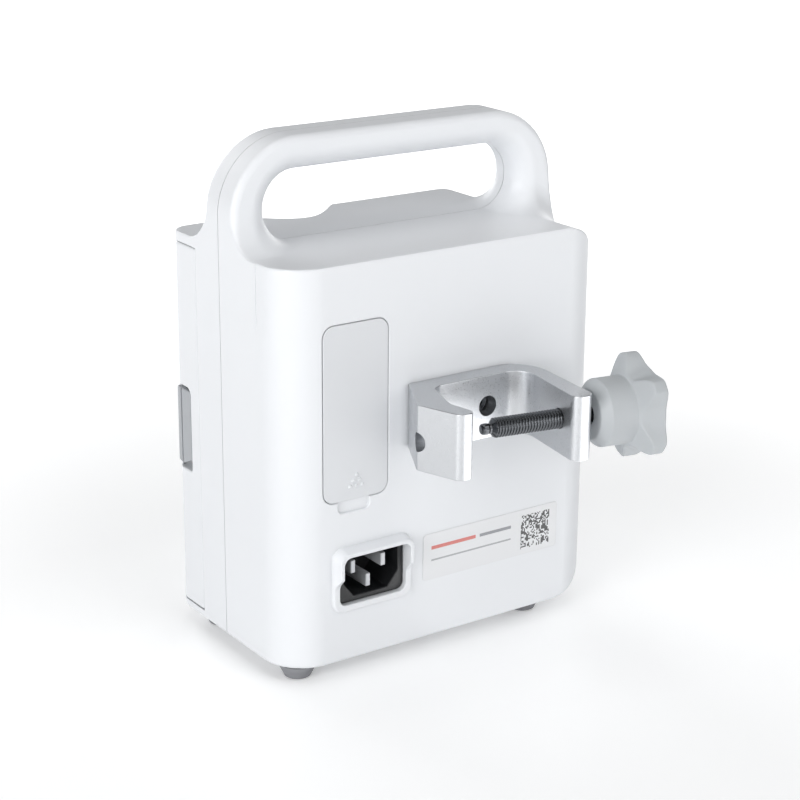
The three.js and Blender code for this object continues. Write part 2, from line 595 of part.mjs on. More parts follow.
put("motor_rotor", "motor_shaft_pulley", motorRotor(), steel);
put("housing", "timing_belt", timingBelt(), beltRubber);
put("housing", "air_bubble_sensor", bubbleSensor(), black);
put("housing", "pressure_sensor", pressureSensor(), steel);

// ---- door ------------------------------------------------------------------
const DOOR_BACK = -21.5; // rear rim
const DOOR_PLAN = [ // X, Y
  ...arc([-HALF_W + R_FRONT, FRONT + R_FRONT], R_FRONT, 180, 270, 7),
  ...arc([HALF_W - R_FRONT, FRONT + R_FRONT], R_FRONT, 270, 360, 7),
  ...arc([HALF_W - 1.5, DOOR_BACK - 1.5], 1.5, 0, 90, 3),
  ...arc(HINGE, KNUCKLE_R, 90, 180, 6),
];
const CAVITY = [-67.4, HALF_W - WALL, DOOR_Z0 + WALL, DOOR_Z1 - WALL]; // hollow (X, Z)
const PLATE_GAP = 0.4; // round the inner plate and the platen
const WINDOW = [-62, 12, 91, 150]; // display window (X, Z)
const DISPLAY_OPENING = inset(WINDOW, 4);
const KEYS = [ // name, [x, z], material
  ["key_menu", [40, 141], lightGrey], ["key_up", [59, 141], lightGrey],
  ["key_bolus", [40, 121], lightGrey], ["key_down", [59, 121], lightGrey],
  ["key_stop", [40, 101], stopRed], ["key_start", [59, 101], startGreen],
];
const KEY_R = 3; // corner
const POWER_KEY = [49.5, 78];
const POWER_KEY_R = 8;
const KEY_GAP = 0.35;
const KEY_Y = [FRONT - 0.9, -41.7]; // front and rear of the keys
const keyRect = (centre) => rectAbout(centre, 8, 7);
const LATCH = [73.4, -40.6]; // latch axis (X, Y)
const POCKET_Z = [67.5, 103]; // height of the latch pocket
const aroundPocket = (by) => [POCKET_Z[0] - by, POCKET_Z[1] + by];
const PLATEN = rectAbout(PUMP_MID, 7.9, 39.6);

const hingeCuts = (z) => [
  box(-80, -65.4, -32.4, -20, z - 0.5, z + LUG_HEIGHT + 0.5), // lug slot
  disc("z", HINGE, HINGE_BORE_R, z - 7, z + 13, 16), // pin bore
];
function doorShell() {
  // hollow behind the front skin, leaving the pocket of the latch closed on the inside
  const hollow = plate(CAVITY, FRONT + WALL, 0, [16, 0.5, 0.5, 15], 5)
    .subtract(box(68.3, 80, -50, -26.4, ...aroundPocket(2)));
  const tubeChannel = (zMin, zMax) => box(TUBE_X - 4, TUBE_X + 4, -36.6, -20, zMin, zMax);
  return cut(
    prism(DOOR_PLAN, "z", DOOR_Z0, DOOR_Z1).intersect(prism(frontOutline(0), "y", -60, 0)),
    hollow, tubeChannel(0, 12.5), tubeChannel(158, 166),
    ...LUG_Z.flatMap(hingeCuts),
    // display recess and window, key holes
    plate(inset(WINDOW, -0.4), -50, FRONT + 1.4, 3.4, 3),
    plate(DISPLAY_OPENING, -50, -40, 2, 2),
    ...KEYS.map(([, at]) => plate(inset(keyRect(at), -KEY_GAP), -50, -40, KEY_R + KEY_GAP, 3)),
    disc("y", POWER_KEY, POWER_KEY_R + KEY_GAP, -50, -40),
    // latch pocket in the right edge, its pin bore and the slot for its tongue
    prism(roundedRect([-60, -28.4, ...POCKET_Z], 0.02, 1), "x", 70.3, 90),
    disc("z", LATCH, 1.2, ...aroundPocket(1.5), 14),
    box(67, 71, -34.2, -28.9, 80, 90));
}
const displayModule = () => join(
  plate(inset(DISPLAY_OPENING, 0.6), -42.3, -39.4), plate(inset(WINDOW, 2), -41.1, -39.4));
const keypadBoard = () => join(
  plate([29, 67.6, 66, 152], -40.2, -39.0),
  ...KEYS.map(([, at]) => plate(rectAbout(at, 2, 2), -40.6, -40.1)));
const innerPlate = () => cut(
  plate(inset(CAVITY, PLATE_GAP), -37.6, -36.4, [15.6, 0.5, 0.5, 14.6], 5),
  plate(inset(PLATEN, -PLATE_GAP), -40, -30),
  box(67.9, 80, -40, -30, ...aroundPocket(3)));
function platenSpring() {
  // y, z of a shallow bow
  const bow = [[-41.2, 60], [-40.7, 60], [-39.95, 90], [-40.7, 120], [-41.2, 120], [-40.45, 90]];
  return prism(bow, "x", TUBE_X - 4, TUBE_X + 4);
}
put("door", "door_shell", doorShell(), white);
put("door", "display_window", plate(WINDOW, FRONT + 0.1, FRONT + 1.1, 3, 3), windowBlack);
put("door", "display_module", displayModule(), displayGrey);
put("door", "keypad_board", keypadBoard(), boardGreen);
for (const [name, centre, material] of KEYS)
  put(name, name, plate(keyRect(centre), ...KEY_Y, KEY_R, 3), material);
put("key_power", "key_power", disc("y", POWER_KEY, POWER_KEY_R, ...KEY_Y), lightGrey);
put("door", "door_inner_plate", innerPlate(), lightGrey);
put("platen", "platen", plate(PLATEN, -38.6, -36.2, 2, 2), steel);
put("door", "platen_spring", platenSpring(), steel);
["lower", "upper"].forEach((level, i) => {
  const pin = disc("z", HINGE, 1.45, LUG_Z[i] - 6.5, LUG_Z[i] + 12.5, 16);
  put("door", "door_hinge_pin_" + level, pin, steel);
});

// Latch: a lever in the door's edge that pulls outwards, its tongue through the pocket floor.
function latchHandle() {
  const blade = [[-37.2, 69], [-30.5, 72], [-30.5, 101], [-37.2, 101]]; // y, z
  return cut(
    join(
      box(71.7, 75.4, -42.0, -37.0, 69, 101),
      prism(blade, "x", 73.2, 75.4),
      box(69.0, 73.4, -33.0, -30.5, 82, 88)), // tongue
    disc("z", LATCH, 0.95, 60, 110, 12));
}
put("latch", "door_latch_handle", latchHandle(), grey);
put("door", "door_latch_pin", disc("z", LATCH, 0.65, ...aroundPocket(1.2), 12), steel);

pump.position.y = -ORIGIN_Y;
export default pump;
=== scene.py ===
# An infusion pump: a moulded housing with a carrying handle on top, a hinged door with
# display and keys in front, and a mains inlet, battery cover and pole clamp at the rear.
# Front is -Y, left is -X and up is +Z. Shapes are drawn in mm about the middle of the
# housing's depth; mesh_object moves them into the frame, in metres.
import bpy
import bmesh
import json
import math
import numpy as np
from mathutils import Vector, Matrix


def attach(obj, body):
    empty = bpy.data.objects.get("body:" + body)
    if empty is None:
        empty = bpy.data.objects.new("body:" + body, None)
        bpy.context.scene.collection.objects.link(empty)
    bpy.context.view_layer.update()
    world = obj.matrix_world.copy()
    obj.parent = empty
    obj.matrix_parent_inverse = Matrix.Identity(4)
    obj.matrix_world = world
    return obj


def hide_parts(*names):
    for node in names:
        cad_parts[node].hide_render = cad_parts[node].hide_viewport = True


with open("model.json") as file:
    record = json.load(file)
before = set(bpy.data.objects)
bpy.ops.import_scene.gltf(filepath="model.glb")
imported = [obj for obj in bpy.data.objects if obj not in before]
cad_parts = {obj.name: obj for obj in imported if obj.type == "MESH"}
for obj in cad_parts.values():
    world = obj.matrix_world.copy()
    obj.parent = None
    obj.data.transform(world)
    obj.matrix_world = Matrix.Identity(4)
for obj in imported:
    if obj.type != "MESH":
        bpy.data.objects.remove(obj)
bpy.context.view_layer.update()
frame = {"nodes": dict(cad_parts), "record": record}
MM = 0.001
ORIGIN_Y = 30.73    # the frame's origin lies this far behind the middle of the housing
SHARP = 0.02        # radius that stands for a sharp edge
collection = bpy.context.scene.collection

# ---------------------------------------------------------------- main dimensions, mm
HALF_WIDTH = 76.3
BACK = 44.0
FRONT = -BACK
FLOOR_Z, ROOF_Z, HANDLE_TOP = 6.0, 166.0, 208.0
TOP_RADIUS, BOTTOM_RADIUS = 21.0, 23.0      # left corners, seen from the front
TOP_CX, TOP_CZ = -HALF_WIDTH + TOP_RADIUS, ROOF_Z - TOP_RADIUS
BOTTOM_CX, BOTTOM_CZ = -HALF_WIDTH + BOTTOM_RADIUS, FLOOR_Z + BOTTOM_RADIUS
REAR_RADIUS, FRONT_RADIUS = 17.3, 9.5       # upright corners, seen from above
WALL = 2.5
SEAM_Y, SEAM_HALF_GAP = -3.0, 0.15          # between the two shells
HANDLE_Y0, HANDLE_Y1 = -14.0, 8.0
FACE_Y, PLATFORM_Y = -21.1, -31.0           # front shell behind the door
LIP_Z, CAP_Z = 9.2, 162.3                   # the door bay's lower and upper ends
DOOR_BACK, DOOR_Z0, DOOR_Z1 = -21.5, 9.6, 161.9
HINGE = (-72.0, -25.9)
HINGE_BORE, LUG_RADIUS, KNUCKLE_RADIUS = 1.75, 3.2, 4.3
LUG_BOTTOMS, LUG_HEIGHT = (36, 128), 6
TUBE_X, BELL_X = 18.0, 20.5
MOUNT_X, MOUNT_Z = (-11.0, 9.2), 102.6      # pole clamp screws

# x0, x1, z0, z1, corner radius
DISPLAY = (-62, 12, 91, 150, 3.0)
BATTERY_LID = (30.2, 59.5, 73.0, 143.2, 4.7)
HOOD_OUTER = (19.1, 56.1, 26.9, 54.1, 5.0)
HOOD_OPENING = (22.1, 53.1, 29.9, 51.1, 3.2)

# centres in x and z
KEYS = {
    "menu": (40, 141), "up": (59, 141), "bolus": (40, 121),
    "down": (59, 121), "stop": (40, 101), "start": (59, 101),
}
KEY_HALF_WIDTH, KEY_HALF_HEIGHT, KEY_CORNER = 8, 7, 3.0
KEY_GAP = 0.35
POWER, POWER_RADIUS = (49.5, 78), 8.0

# grid steps of the sampled shapes
SHELL_STEP, HOOD_STEP, KNOB_STEP = ((0.8, 0.27, 0.38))


# ---------------------------------------------------------------- meshes
def mesh_object(name, points, faces):
    """Object from points in mm."""
    points = np.asarray(points, float).copy()
    points[:, 1] -= ORIGIN_Y
    points *= MM
    mesh = bpy.data.meshes.new(name)
    mesh.from_pydata(points.tolist(), [], [list(map(int, face)) for face in faces])
    mesh.validate()
    mesh.update()
    obj = bpy.data.objects.new(name, mesh)
    collection.objects.link(obj)
    return obj


def rings_object(rings, name="tool"):
    """Capped body through rings of 3-D points with one count."""
    count = len(rings[0])
    faces = []
    for first in range(0, (len(rings) - 1) * count, count):
        second = first + count
        for j in range(count):
            k = (j + 1) % count
            faces.append((first + j, first + k, second + k, second + j))
    faces.append(list(range(count))[::-1])
    faces.append([(len(rings) - 1) * count + j for j in range(count)])
    obj = mesh_object(name, np.vstack([np.asarray(ring, float) for ring in rings]), faces)
    bm = bmesh.new()
    bm.from_mesh(obj.data)
    bmesh.ops.remove_doubles(bm, verts=bm.verts, dist=1e-7)
    bmesh.ops.recalc_face_normals(bm, faces=bm.faces)
    bm.to_mesh(obj.data)
    bm.free()
    return obj


# An outline is a function from an inset to a list of 2-D points.
def arc(cx, cy, radius, start, end, count):
    angles = np.radians(np.linspace(start, end, count + 1))
    return [(cx + radius * math.cos(a), cy + radius * math.sin(a)) for a in angles]


def rect(x0, x1, y0, y1, radius, count=8, gap=0.0):
    """Rounded rectangle grown by gap; four radii run counter-clockwise from (x0, y0)."""
    radii = radius if isinstance(radius, (list, tuple)) else (radius,) * 4
    x0, x1, y0, y1 = x0 - gap, x1 + gap, y0 - gap, y1 + gap

    def outline(inset):
        left, right, low, high = x0 + inset, x1 - inset, y0 + inset, y1 - inset
        a, b, c, d = [max(r + gap - inset, SHARP) for r in radii]
        return (arc(left + a, low + a, a, 180, 270, count)
                + arc(right - b, low + b, b, 270, 360, count)
                + arc(right - c, high - c, c, 0, 90, count)
                + arc(left + d, high - d, d, 90, 180, count))
    return outline


def circle(cx, cy, radius, count=48):
    def outline(inset):
        r = radius - inset
        angles = [2 * math.pi * i / count for i in range(count)]
        return [(cx + r * math.cos(a), cy + r * math.sin(a)) for a in angles]
    return outline


def polygon(points):
    """Polygon whose corners move along their mitres as it is inset."""
    p = np.asarray(points, float)
    area = 0.5 * np.sum(p[:, 0] * np.roll(p[:, 1], -1) - np.roll(p[:, 0], -1) * p[:, 1])
    if area < 0:
        p = p[::-1]

    def normals(edges):
        return np.stack([-edges[:, 1], edges[:, 0]], 1) / np.linalg.norm(edges, axis=1)[:, None]
    before = normals(p - np.roll(p, 1, 0))
    mitre = before + normals(np.roll(p, -1, 0) - p)
    mitre /= (mitre * before).sum(1)[:, None]
    return lambda inset: [tuple(q) for q in (p + inset * mitre)]


def round_corners(corners, count):
    """Points of a polygon given as (x, y, radius), with an arc at each rounded corner."""
    points = []
    for i, (x, y, radius) in enumerate(corners):
        p = np.array((x, y), float)
        a = np.array(corners[i - 1][:2], float) - p
        b = np.array(corners[(i + 1) % len(corners)][:2], float) - p
        length_a, length_b = np.linalg.norm(a), np.linalg.norm(b)
        a, b = a / length_a, b / length_b
        angle = math.acos(max(-1, min(1, float(a @ b))))
        trim = min(radius / math.tan(angle / 2), 0.49 * length_a, 0.49 * length_b)
        r = trim * math.tan(angle / 2)
        centre = p + (a + b) / np.linalg.norm(a + b) * (r / math.sin(angle / 2))
        start, end = p + a * trim - centre, p + b * trim - centre
        angle0 = math.atan2(start[1], start[0])
        angle1 = math.atan2(end[1], end[0])
        sweep = (angle1 - angle0 + math.pi) % (2 * math.pi) - math.pi
        for j in range(count + 1):
            t = angle0 + sweep * j / count
            points.append((centre[0] + r * math.cos(t), centre[1] + r * math.sin(t)))
    return points


# 3-D point of an outline's (u, v) at place w on the named axis
ON_AXIS = {
    "z": lambda u, v, w: (u, v, w),
    "y": lambda u, v, w: (u, w, v),
    "x": lambda u, v, w: (w, u, v),
}


def loft(outline, axis, stations, name="tool"):
    """Body through one outline at stations of (place on the axis, inset)."""
    place = ON_AXIS[axis]
    return rings_object([[place(u, v, w) for u, v in outline(inset)] for w, inset in stations],
                        name)


def rim(place, radius, inward, count):
    """Stations of a rounded rim; a negative radius flares it outwards."""
    if abs(radius) < 1e-6:
        return [(place, 0.0)]
    size = abs(radius)
    stations = []
    for i in range(count + 1):
        a = math.pi / 2 * i / count
        if radius > 0:
            stations.append((place + inward * size * (1 - math.cos(a)), size * (1 - math.sin(a))))
        else:
            stations.append((place + inward * size * math.sin(a), -size * (1 - math.sin(a))))
    return stations


def prism(outline, axis, start, end, start_rim=0.0, end_rim=0.0, count=5, name="tool"):
    """Prism with rounded rims. As a cutter, a flared rim leaves a rounded edge."""
    inward = 1 if end > start else -1
    stations = rim(start, start_rim, inward, count) + rim(end, end_rim, -inward, count)[::-1]
    if end_rim < 0:
        stations.append((end + inward * 2.0, end_rim))
    return loft(outline, axis, stations, name)


def box(x0, x1, y0, y1, z0, z1):
    """Box tool; bounds far outside the housing make it an open-ended cut."""
    return rings_object([[(x0, y0, z), (x1, y0, z), (x1, y1, z), (x0, y1, z)] for z in (z0, z1)])


def boolean(body, tool, operation):
    """Applies the tool to the body and removes the tool."""
    modifier = body.modifiers.new("b", "BOOLEAN")
    modifier.operation = operation
    modifier.object = tool
    modifier.solver = "MANIFOLD"
    depsgraph = bpy.context.evaluated_depsgraph_get()
    result = bpy.data.meshes.new_from_object(body.evaluated_get(depsgraph))
    body.modifiers.remove(modifier)
    old = body.data
    if len(result.polygons) == 0:
        raise RuntimeError(f"boolean {body.name} {operation} {tool.name} left nothing")
    body.data = result
    bpy.data.meshes.remove(old)
    bpy.data.objects.remove(tool)


def cut(body, *tools):
    for tool in tools:
        boolean(body, tool, "DIFFERENCE")
    return body


def join(body, *tools):
    for tool in tools:
        boolean(body, tool, "UNION")
    return body


def dissolve(obj, degrees):
    """Merges faces that are flat to within the angle."""
    bm = bmesh.new()
    bm.from_mesh(obj.data)
    bmesh.ops.dissolve_limit(bm, angle_limit=math.radians(degrees), verts=bm.verts, edges=bm.edges)
    bm.to_mesh(obj.data)
    bm.free()


def finish(obj, angle=35):
    """Smooth shading with sharp edges above the angle."""
    for face in obj.data.polygons:
        face.use_smooth = True
    obj.data.set_sharp_from_angle(angle=math.radians(angle))
    modifier = obj.modifiers.new("wn", "WEIGHTED_NORMAL")
    modifier.keep_sharp = True
    modifier.weight = 80
    return obj


# ---------------------------------------------------------------- distance fields
def round_and(a, b, radius):
    return (np.minimum(-radius, np.maximum(a, b))
            + np.hypot(np.maximum(a + radius, 0), np.maximum(b + radius, 0)))


def round_or(a, b, radius):
    return (np.maximum(radius, np.minimum(a, b))
            - np.hypot(np.maximum(radius - a, 0), np.maximum(radius - b, 0)))


def smooth(t):
    t = np.clip(t, 0, 1)
    return t * t * (3 - 2 * t)


def fade(radius, amount):
    """Edge radius that grows from sharp to full as amount goes from 0 to 1."""
    return np.maximum(radius * smooth(amount), SHARP)


def rect_distance(u, v, u0, u1, v0, v1, radius):
    qu = np.abs(u - (u0 + u1) / 2) - (u1 - u0) / 2 + radius
    qv = np.abs(v - (v0 + v1) / 2) - (v1 - v0) / 2 + radius
    outside = np.hypot(np.maximum(qu, 0), np.maximum(qv, 0))
    return np.minimum(np.maximum(qu, qv), 0) + outside - radius


def lines(*spans):
    """Grid lines from adjoining spans of (start, end, step)."""
    places = []
    for start, end, step in spans:
        count = max(1, int(round((end - start) / step)))
        places += list(np.linspace(start, end, count + 1)[:-1])
    return np.array(places + [spans[-1][1]])


def surface_points(distance, inside, outer, f_inside, f_outer):
    """Surface crossing and unit normal on each grid edge between two end points."""
    a, b, fa, fb = inside, outer, f_inside, f_outer
    for _ in range(5):
        t = np.clip(fa / (fa - fb), 0.02, 0.98)[:, None]
        middle = a + (b - a) * t
        fm = distance(middle[:, 0], middle[:, 1], middle[:, 2])
        same = (fm < 0) == (fa < 0)
        a = np.where(same[:, None], middle, a)
        fa = np.where(same, fm, fa)
        b = np.where(same[:, None], b, middle)
        fb = np.where(same, fb, fm)
    t = (fa / np.where(np.abs(fa - fb) < 1e-12, 1e-12, fa - fb)).clip(0, 1)[:, None]
    points = a + (b - a) * t
    normals = np.stack([distance(*(points + step).T) - distance(*(points - step).T)
                        for step in 2e-3 * np.eye(3)], 1)
    normals /= np.maximum(np.linalg.norm(normals, axis=1), 1e-12)[:, None]
    return points, normals


def contour(name, distance, *axes):
    """Dual contouring on a grid of x, y and z lines, which keeps crisp edges."""
    field = distance(*np.meshgrid(*axes, indexing="ij"))
    field = np.where(np.abs(field) < 1e-9, 1e-9, field)
    inside = field < 0
    cell_counts = tuple(len(axis) - 1 for axis in axes)
    quads, points, normals, owners = [], [], [], []
    for d in range(3):
        low = [slice(None)] * 3
        high = [slice(None)] * 3
        low[d], high[d] = slice(0, -1), slice(1, None)
        start = np.argwhere(inside[tuple(low)] != inside[tuple(high)])
        e, g = [q for q in range(3) if q != d]
        interior = ((start[:, e] > 0) & (start[:, g] > 0)
                    & (start[:, e] < cell_counts[e]) & (start[:, g] < cell_counts[g]))
        start = start[interior]
        end = start.copy()
        end[:, d] += 1
        ends = [np.stack([axes[q][corner[:, q]] for q in range(3)], 1) for corner in (start, end)]
        point, normal = surface_points(distance, *ends, field[tuple(start.T)],
                                       field[tuple(end.T)])
        # the four cells round each crossed grid edge make one quad
        cells = []
        for shift_e, shift_g in ((-1, -1), (0, -1), (0, 0), (-1, 0)):
            cell = start.copy()
            cell[:, e] += shift_e
            cell[:, g] += shift_g
            cells.append(np.ravel_multi_index(tuple(cell.T), cell_counts))
        cells = np.stack(cells, 1)
        flip = inside[tuple(start.T)] == (d == 1)
        quads.append(np.where(flip[:, None], cells[:, ::-1], cells))
        points.append(np.repeat(point, 4, 0))
        normals.append(np.repeat(normal, 4, 0))
        owners.append(cells.reshape(-1))
    quads, points, normals = np.vstack(quads), np.vstack(points), np.vstack(normals)
    used, owner = np.unique(np.concatenate(owners), return_inverse=True)
    total = len(used)
    crossings = np.bincount(owner, minlength=total).astype(float)

    def per_cell(weights):
        return np.bincount(owner, weights, total)
    # one vertex per cell, where the tangent planes of its crossings meet best
    centre = np.stack([per_cell(points[:, q]) for q in range(3)], 1) / crossings[:, None]
    offset = (normals * (points - centre[owner])).sum(1)
    matrix = np.zeros((total, 3, 3))
    for u in range(3):
        for v in range(3):
            matrix[:, u, v] = per_cell(normals[:, u] * normals[:, v])
    target = np.stack([per_cell(normals[:, q] * offset) for q in range(3)], 1)
    matrix += (0.03 * crossings)[:, None, None] * np.eye(3)
    shift = np.linalg.solve(matrix, target[:, :, None])[:, :, 0]
    cell = np.unravel_index(used, cell_counts)
    low = np.stack([axes[q][cell[q]] for q in range(3)], 1)
    high = np.stack([axes[q][cell[q] + 1] for q in range(3)], 1)
    vertices = np.clip(centre + shift, low, high)
    return mesh_object(name, vertices, np.searchsorted(used, quads))


# ---------------------------------------------------------------- outer shape of the housing
def roof_distance(x, z):
    """Top face, running round the upper left corner and down the left side."""
    corner = np.hypot(np.minimum(x - TOP_CX, 0), z - TOP_CZ) - TOP_RADIUS
    return np.where(x > TOP_CX, z - ROOF_Z, np.where(z > TOP_CZ, corner, -x - HALF_WIDTH))


def floor_distance(x, z):
    """Underside, running round the lower left corner and up the left side."""
    corner = np.hypot(np.minimum(x - BOTTOM_CX, 0), z - BOTTOM_CZ) - BOTTOM_RADIUS
    return np.where(x > BOTTOM_CX, FLOOR_Z - z,
                    np.where(z < BOTTOM_CZ, corner, -x - HALF_WIDTH))


def housing_distance(x, y, z):
    # the handle: a loop, open underneath and rounded round the opening
    slab = np.abs(y - (HANDLE_Y0 + HANDLE_Y1) / 2) - (HANDLE_Y1 - HANDLE_Y0) / 2
    opening = rect_distance(x, z, -59.6, 59.6, 60.0, 194.0, 14.0)
    loop = round_and(slab, -opening, 8.5)
    body = round_or(loop, roof_distance(x, z), 13.6)
    sides = np.maximum(rect_distance(x, z, -HALF_WIDTH, HALF_WIDTH, -60.0, HANDLE_TOP, 30.0),
                       np.abs(x) - HALF_WIDTH)
    # each edge radius fades out where two faces run into each other
    corner_amount = (z - TOP_CZ) / 12.0
    side_edge = 0.9 + 2.3 * smooth((z - 167.0) / 13.0)
    side_edge = np.where((x < 0) & (z < 166.5), fade(side_edge, corner_amount), side_edge)
    top = round_and(body, sides, np.where(z < 140, SHARP, side_edge))
    plan = rect_distance(x, y, -HALF_WIDTH, HALF_WIDTH, FRONT, BACK,
                         np.where(y > 0, REAR_RADIUS, FRONT_RADIUS))
    roof_edge = np.where(z < 140, SHARP, 0.9)
    roof_edge = np.where(x < TOP_CX, fade(roof_edge, corner_amount), roof_edge)
    # the front and rear faces trim only well outside the depth of the handle
    solid = np.where(np.abs(y) > 24.0, round_and(top, plan, roof_edge), top)
    floor_edge = np.where(x < BOTTOM_CX, fade(1.1, (BOTTOM_CZ - z) / 12.0), 1.1)
    return round_and(solid, floor_distance(x, z), np.where(z > 60, SHARP, floor_edge))


shell = contour(
    "shell", housing_distance,
    lines((-79, -50, SHELL_STEP), (-50, 50, 4.0), (50, 79, SHELL_STEP)),
    lines((-46.5, -32, SHELL_STEP), (-32, -28, 1.0), (-28, 24, SHELL_STEP),
          (24, 46.5, SHELL_STEP)),
    lines((3.5, 31, SHELL_STEP), (31, 143, 4.0), (143, 211, SHELL_STEP)),
)
dissolve(shell, 0.25)


def shell_copy(name):
    obj = shell.copy()
    obj.data = shell.data.copy()
    obj.name = name
    collection.objects.link(obj)
    return obj


def inner_space(y0, y1, radius):
    """Space inside the walls, narrowing by the radius towards its end at y1."""
    outline = rect(-HALF_WIDTH + WALL, HALF_WIDTH - WALL, FLOOR_Z + WALL, ROOF_Z - WALL,
                   [BOTTOM_RADIUS - WALL, 0.5, 0.5, TOP_RADIUS - WALL], 10)(0)
    bend = y1 - radius
    rings = []
    for y in [y0, bend] + [bend + radius * math.sin(a)
                           for a in np.linspace(0.12, math.pi / 2, 9)]:
        t = max(0.0, (y - bend) / radius)
        limit = HALF_WIDTH - WALL - radius * (1 - math.sqrt(max(0.0, 1 - t * t)))
        rings.append([(max(-limit, min(limit, x)), y, z) for x, z in outline])
    return rings_object(rings)


def handle_core():
    """Hollow inside the handle loop."""
    core = prism(rect(-HALF_WIDTH + 3, HALF_WIDTH - 3, 150, HANDLE_TOP - 3, [0.1, 0.1, 27, 27], 10),
                 "y", HANDLE_Y0 + 6, HANDLE_Y1 - 6)
    return cut(core, prism(rect(-62.8, 62.8, 100, 197.2, [0.1, 0.1, 14, 14]), "y", -60, 60))


# ---------------------------------------------------------------- rear shell
def hood_distance(x, y, z):
    """Frame round the mains inlet; its rear face steps from deep above to shallow below."""
    deep = y - (BACK + 5.0)
    shallow = y - (BACK + 1.5)
    ramp = (shallow * 3.9 - (z - 38.5) * 3.5) / math.hypot(3.9, 3.5)
    rear_face = np.maximum(deep, round_or(shallow, ramp, 1.0))
    outer = rect_distance(x, z, *HOOD_OUTER) + (y - BACK) * 0.27    # sides lean inwards
    frame_body = round_and(rear_face, outer * 0.966, 0.45)
    opening = rect_distance(x, z, *HOOD_OPENING)
    return np.maximum(round_and(frame_body, -opening, 0.4), BACK - 0.6 - y)


def build_rear():
    rear = shell_copy("rear_shell")
    cut(rear, box(-100, 100, -100, SEAM_Y + SEAM_HALF_GAP, -10, 300),
        inner_space(-20, BACK - WALL, REAR_RADIUS - WALL), handle_core())
    hood = contour("hood", hood_distance, lines((17.5, 58, HOOD_STEP)),
                   lines((BACK - 1.2, BACK + 6.2, HOOD_STEP)), lines((25.5, 56, HOOD_STEP)))
    dissolve(hood, 0.3)
    join(rear, hood)
    cut(
        rear,
        prism(rect(*HOOD_OPENING), "y", BACK - 6, BACK + 1.0),
        # battery cover recess, the bay behind it and the finger notch
        prism(rect(*BATTERY_LID, 10, gap=0.3), "y", BACK - 1.6, BACK, end_rim=-0.35),
        prism(rect(32.4, 57.3, 75.2, 141, 3.0), "y", BACK - 5, BACK - 1.0),
        prism(rect(38.5, 53.0, 68.0, 74.0, [2.4, 2.4, 0.1, 0.1]), "y", BACK - 1.25, BACK,
              start_rim=0.5, end_rim=-0.4),
        *[prism(circle(x, MOUNT_Z, 2.4), "y", 30, 60) for x in MOUNT_X],
        # slots in the left side
        *[prism(rect(4, 26, 32 + 5 * i, 34.2 + 5 * i, 1.05, 5), "x", -82, -70)
          for i in range(5)],
    )
    return finish(rear, 40)


rear = build_rear()


# ---------------------------------------------------------------- front shell
def funnel_outline(inset):
    """Bell-shaped tube entry in the front edge above the door."""
    points = []
    for u in np.linspace(-1.38, 1.38, 57):
        c = math.cos(u * math.pi / 2)
        depth = c + math.sqrt(c * c + 0.0144)
        points.append((BELL_X + 20.5 * u * (1 - inset / 26.0),
                       -44.4 + 7.0 * depth - 0.5 * inset * depth))
    return [(points[0][0], -60.0)] + points + [(points[-1][0], -60.0)]


# z, inset
FUNNEL_STATIONS = [
    (150.0, 0.8), (161.9, 0.8), (162.9, 0.3), (163.6, 0.1), (164.2, 0.0),
    (164.8, -0.1), (165.3, -0.4), (165.7, -0.9), (166.0, -1.7), (167.5, -1.9),
]


def lug_outline(inset):
    """Hinge lug seen from above: round in front, square where it meets the face."""
    radius = LUG_RADIUS - inset
    return ([(HINGE[0] - LUG_RADIUS + inset, FACE_Y + 1.0)] + arc(*HINGE, radius, 180, 360, 20)
            + [(HINGE[0] + LUG_RADIUS - inset, FACE_Y + 1.0)])


def build_front():
    front = shell_copy("front_shell")
    cut(front, box(-100, 100, SEAM_Y - SEAM_HALF_GAP, 100, -10, 300))
    # the bay for the door leaves a raised platform standing
    bay = box(-100, 100, -80, FACE_Y, LIP_Z, CAP_Z)
    cut(bay, prism(rect(-58, 64, 16, 156, 4.0), "y", PLATFORM_Y, 0, start_rim=1.2))
    cut(front, bay)
    inner = inner_space(-60, 30, 2.0)
    cut(inner, box(-100, 100, -100, FACE_Y + WALL, -20, 300))
    pocket = PLATFORM_Y + 6
    cut(
        front, inner, handle_core(),
        prism(rect(-55.6, 61.6, 18.4, 153.6, 2.0), "y", PLATFORM_Y + 2.4, FACE_Y + 6),
        prism(rect(9.5, 26.5, 54, 126, 1.5), "y", pocket, PLATFORM_Y, end_rim=-0.5),
        prism(rect(8, 28, 26, 40, 1.2), "y", pocket, PLATFORM_Y, end_rim=-0.4),
        prism(circle(TUBE_X, 144, 6.3), "y", pocket, PLATFORM_Y, end_rim=-0.4),
    )
    cut(front, loft(funnel_outline, "z", FUNNEL_STATIONS),
        prism(rect(TUBE_X - 4.4, TUBE_X + 4.4, -60, -30.6, [0.1, 0.1, 4.3, 4.3]),
              "z", 0, LIP_Z + 2))
    for z in LUG_BOTTOMS:
        join(front, prism(lug_outline, "z", z, z + LUG_HEIGHT, start_rim=0.4, end_rim=0.4))
        cut(front, prism(circle(*HINGE, HINGE_BORE, 32), "z", z - 2, z + LUG_HEIGHT + 2))
    striker = prism(rect(63, 66.2, 78, 92, 0.8, 4), "y", -27, FACE_Y + 1)
    join(front, striker)
    return finish(front, 40)


front = build_front()
bpy.data.objects.remove(shell)


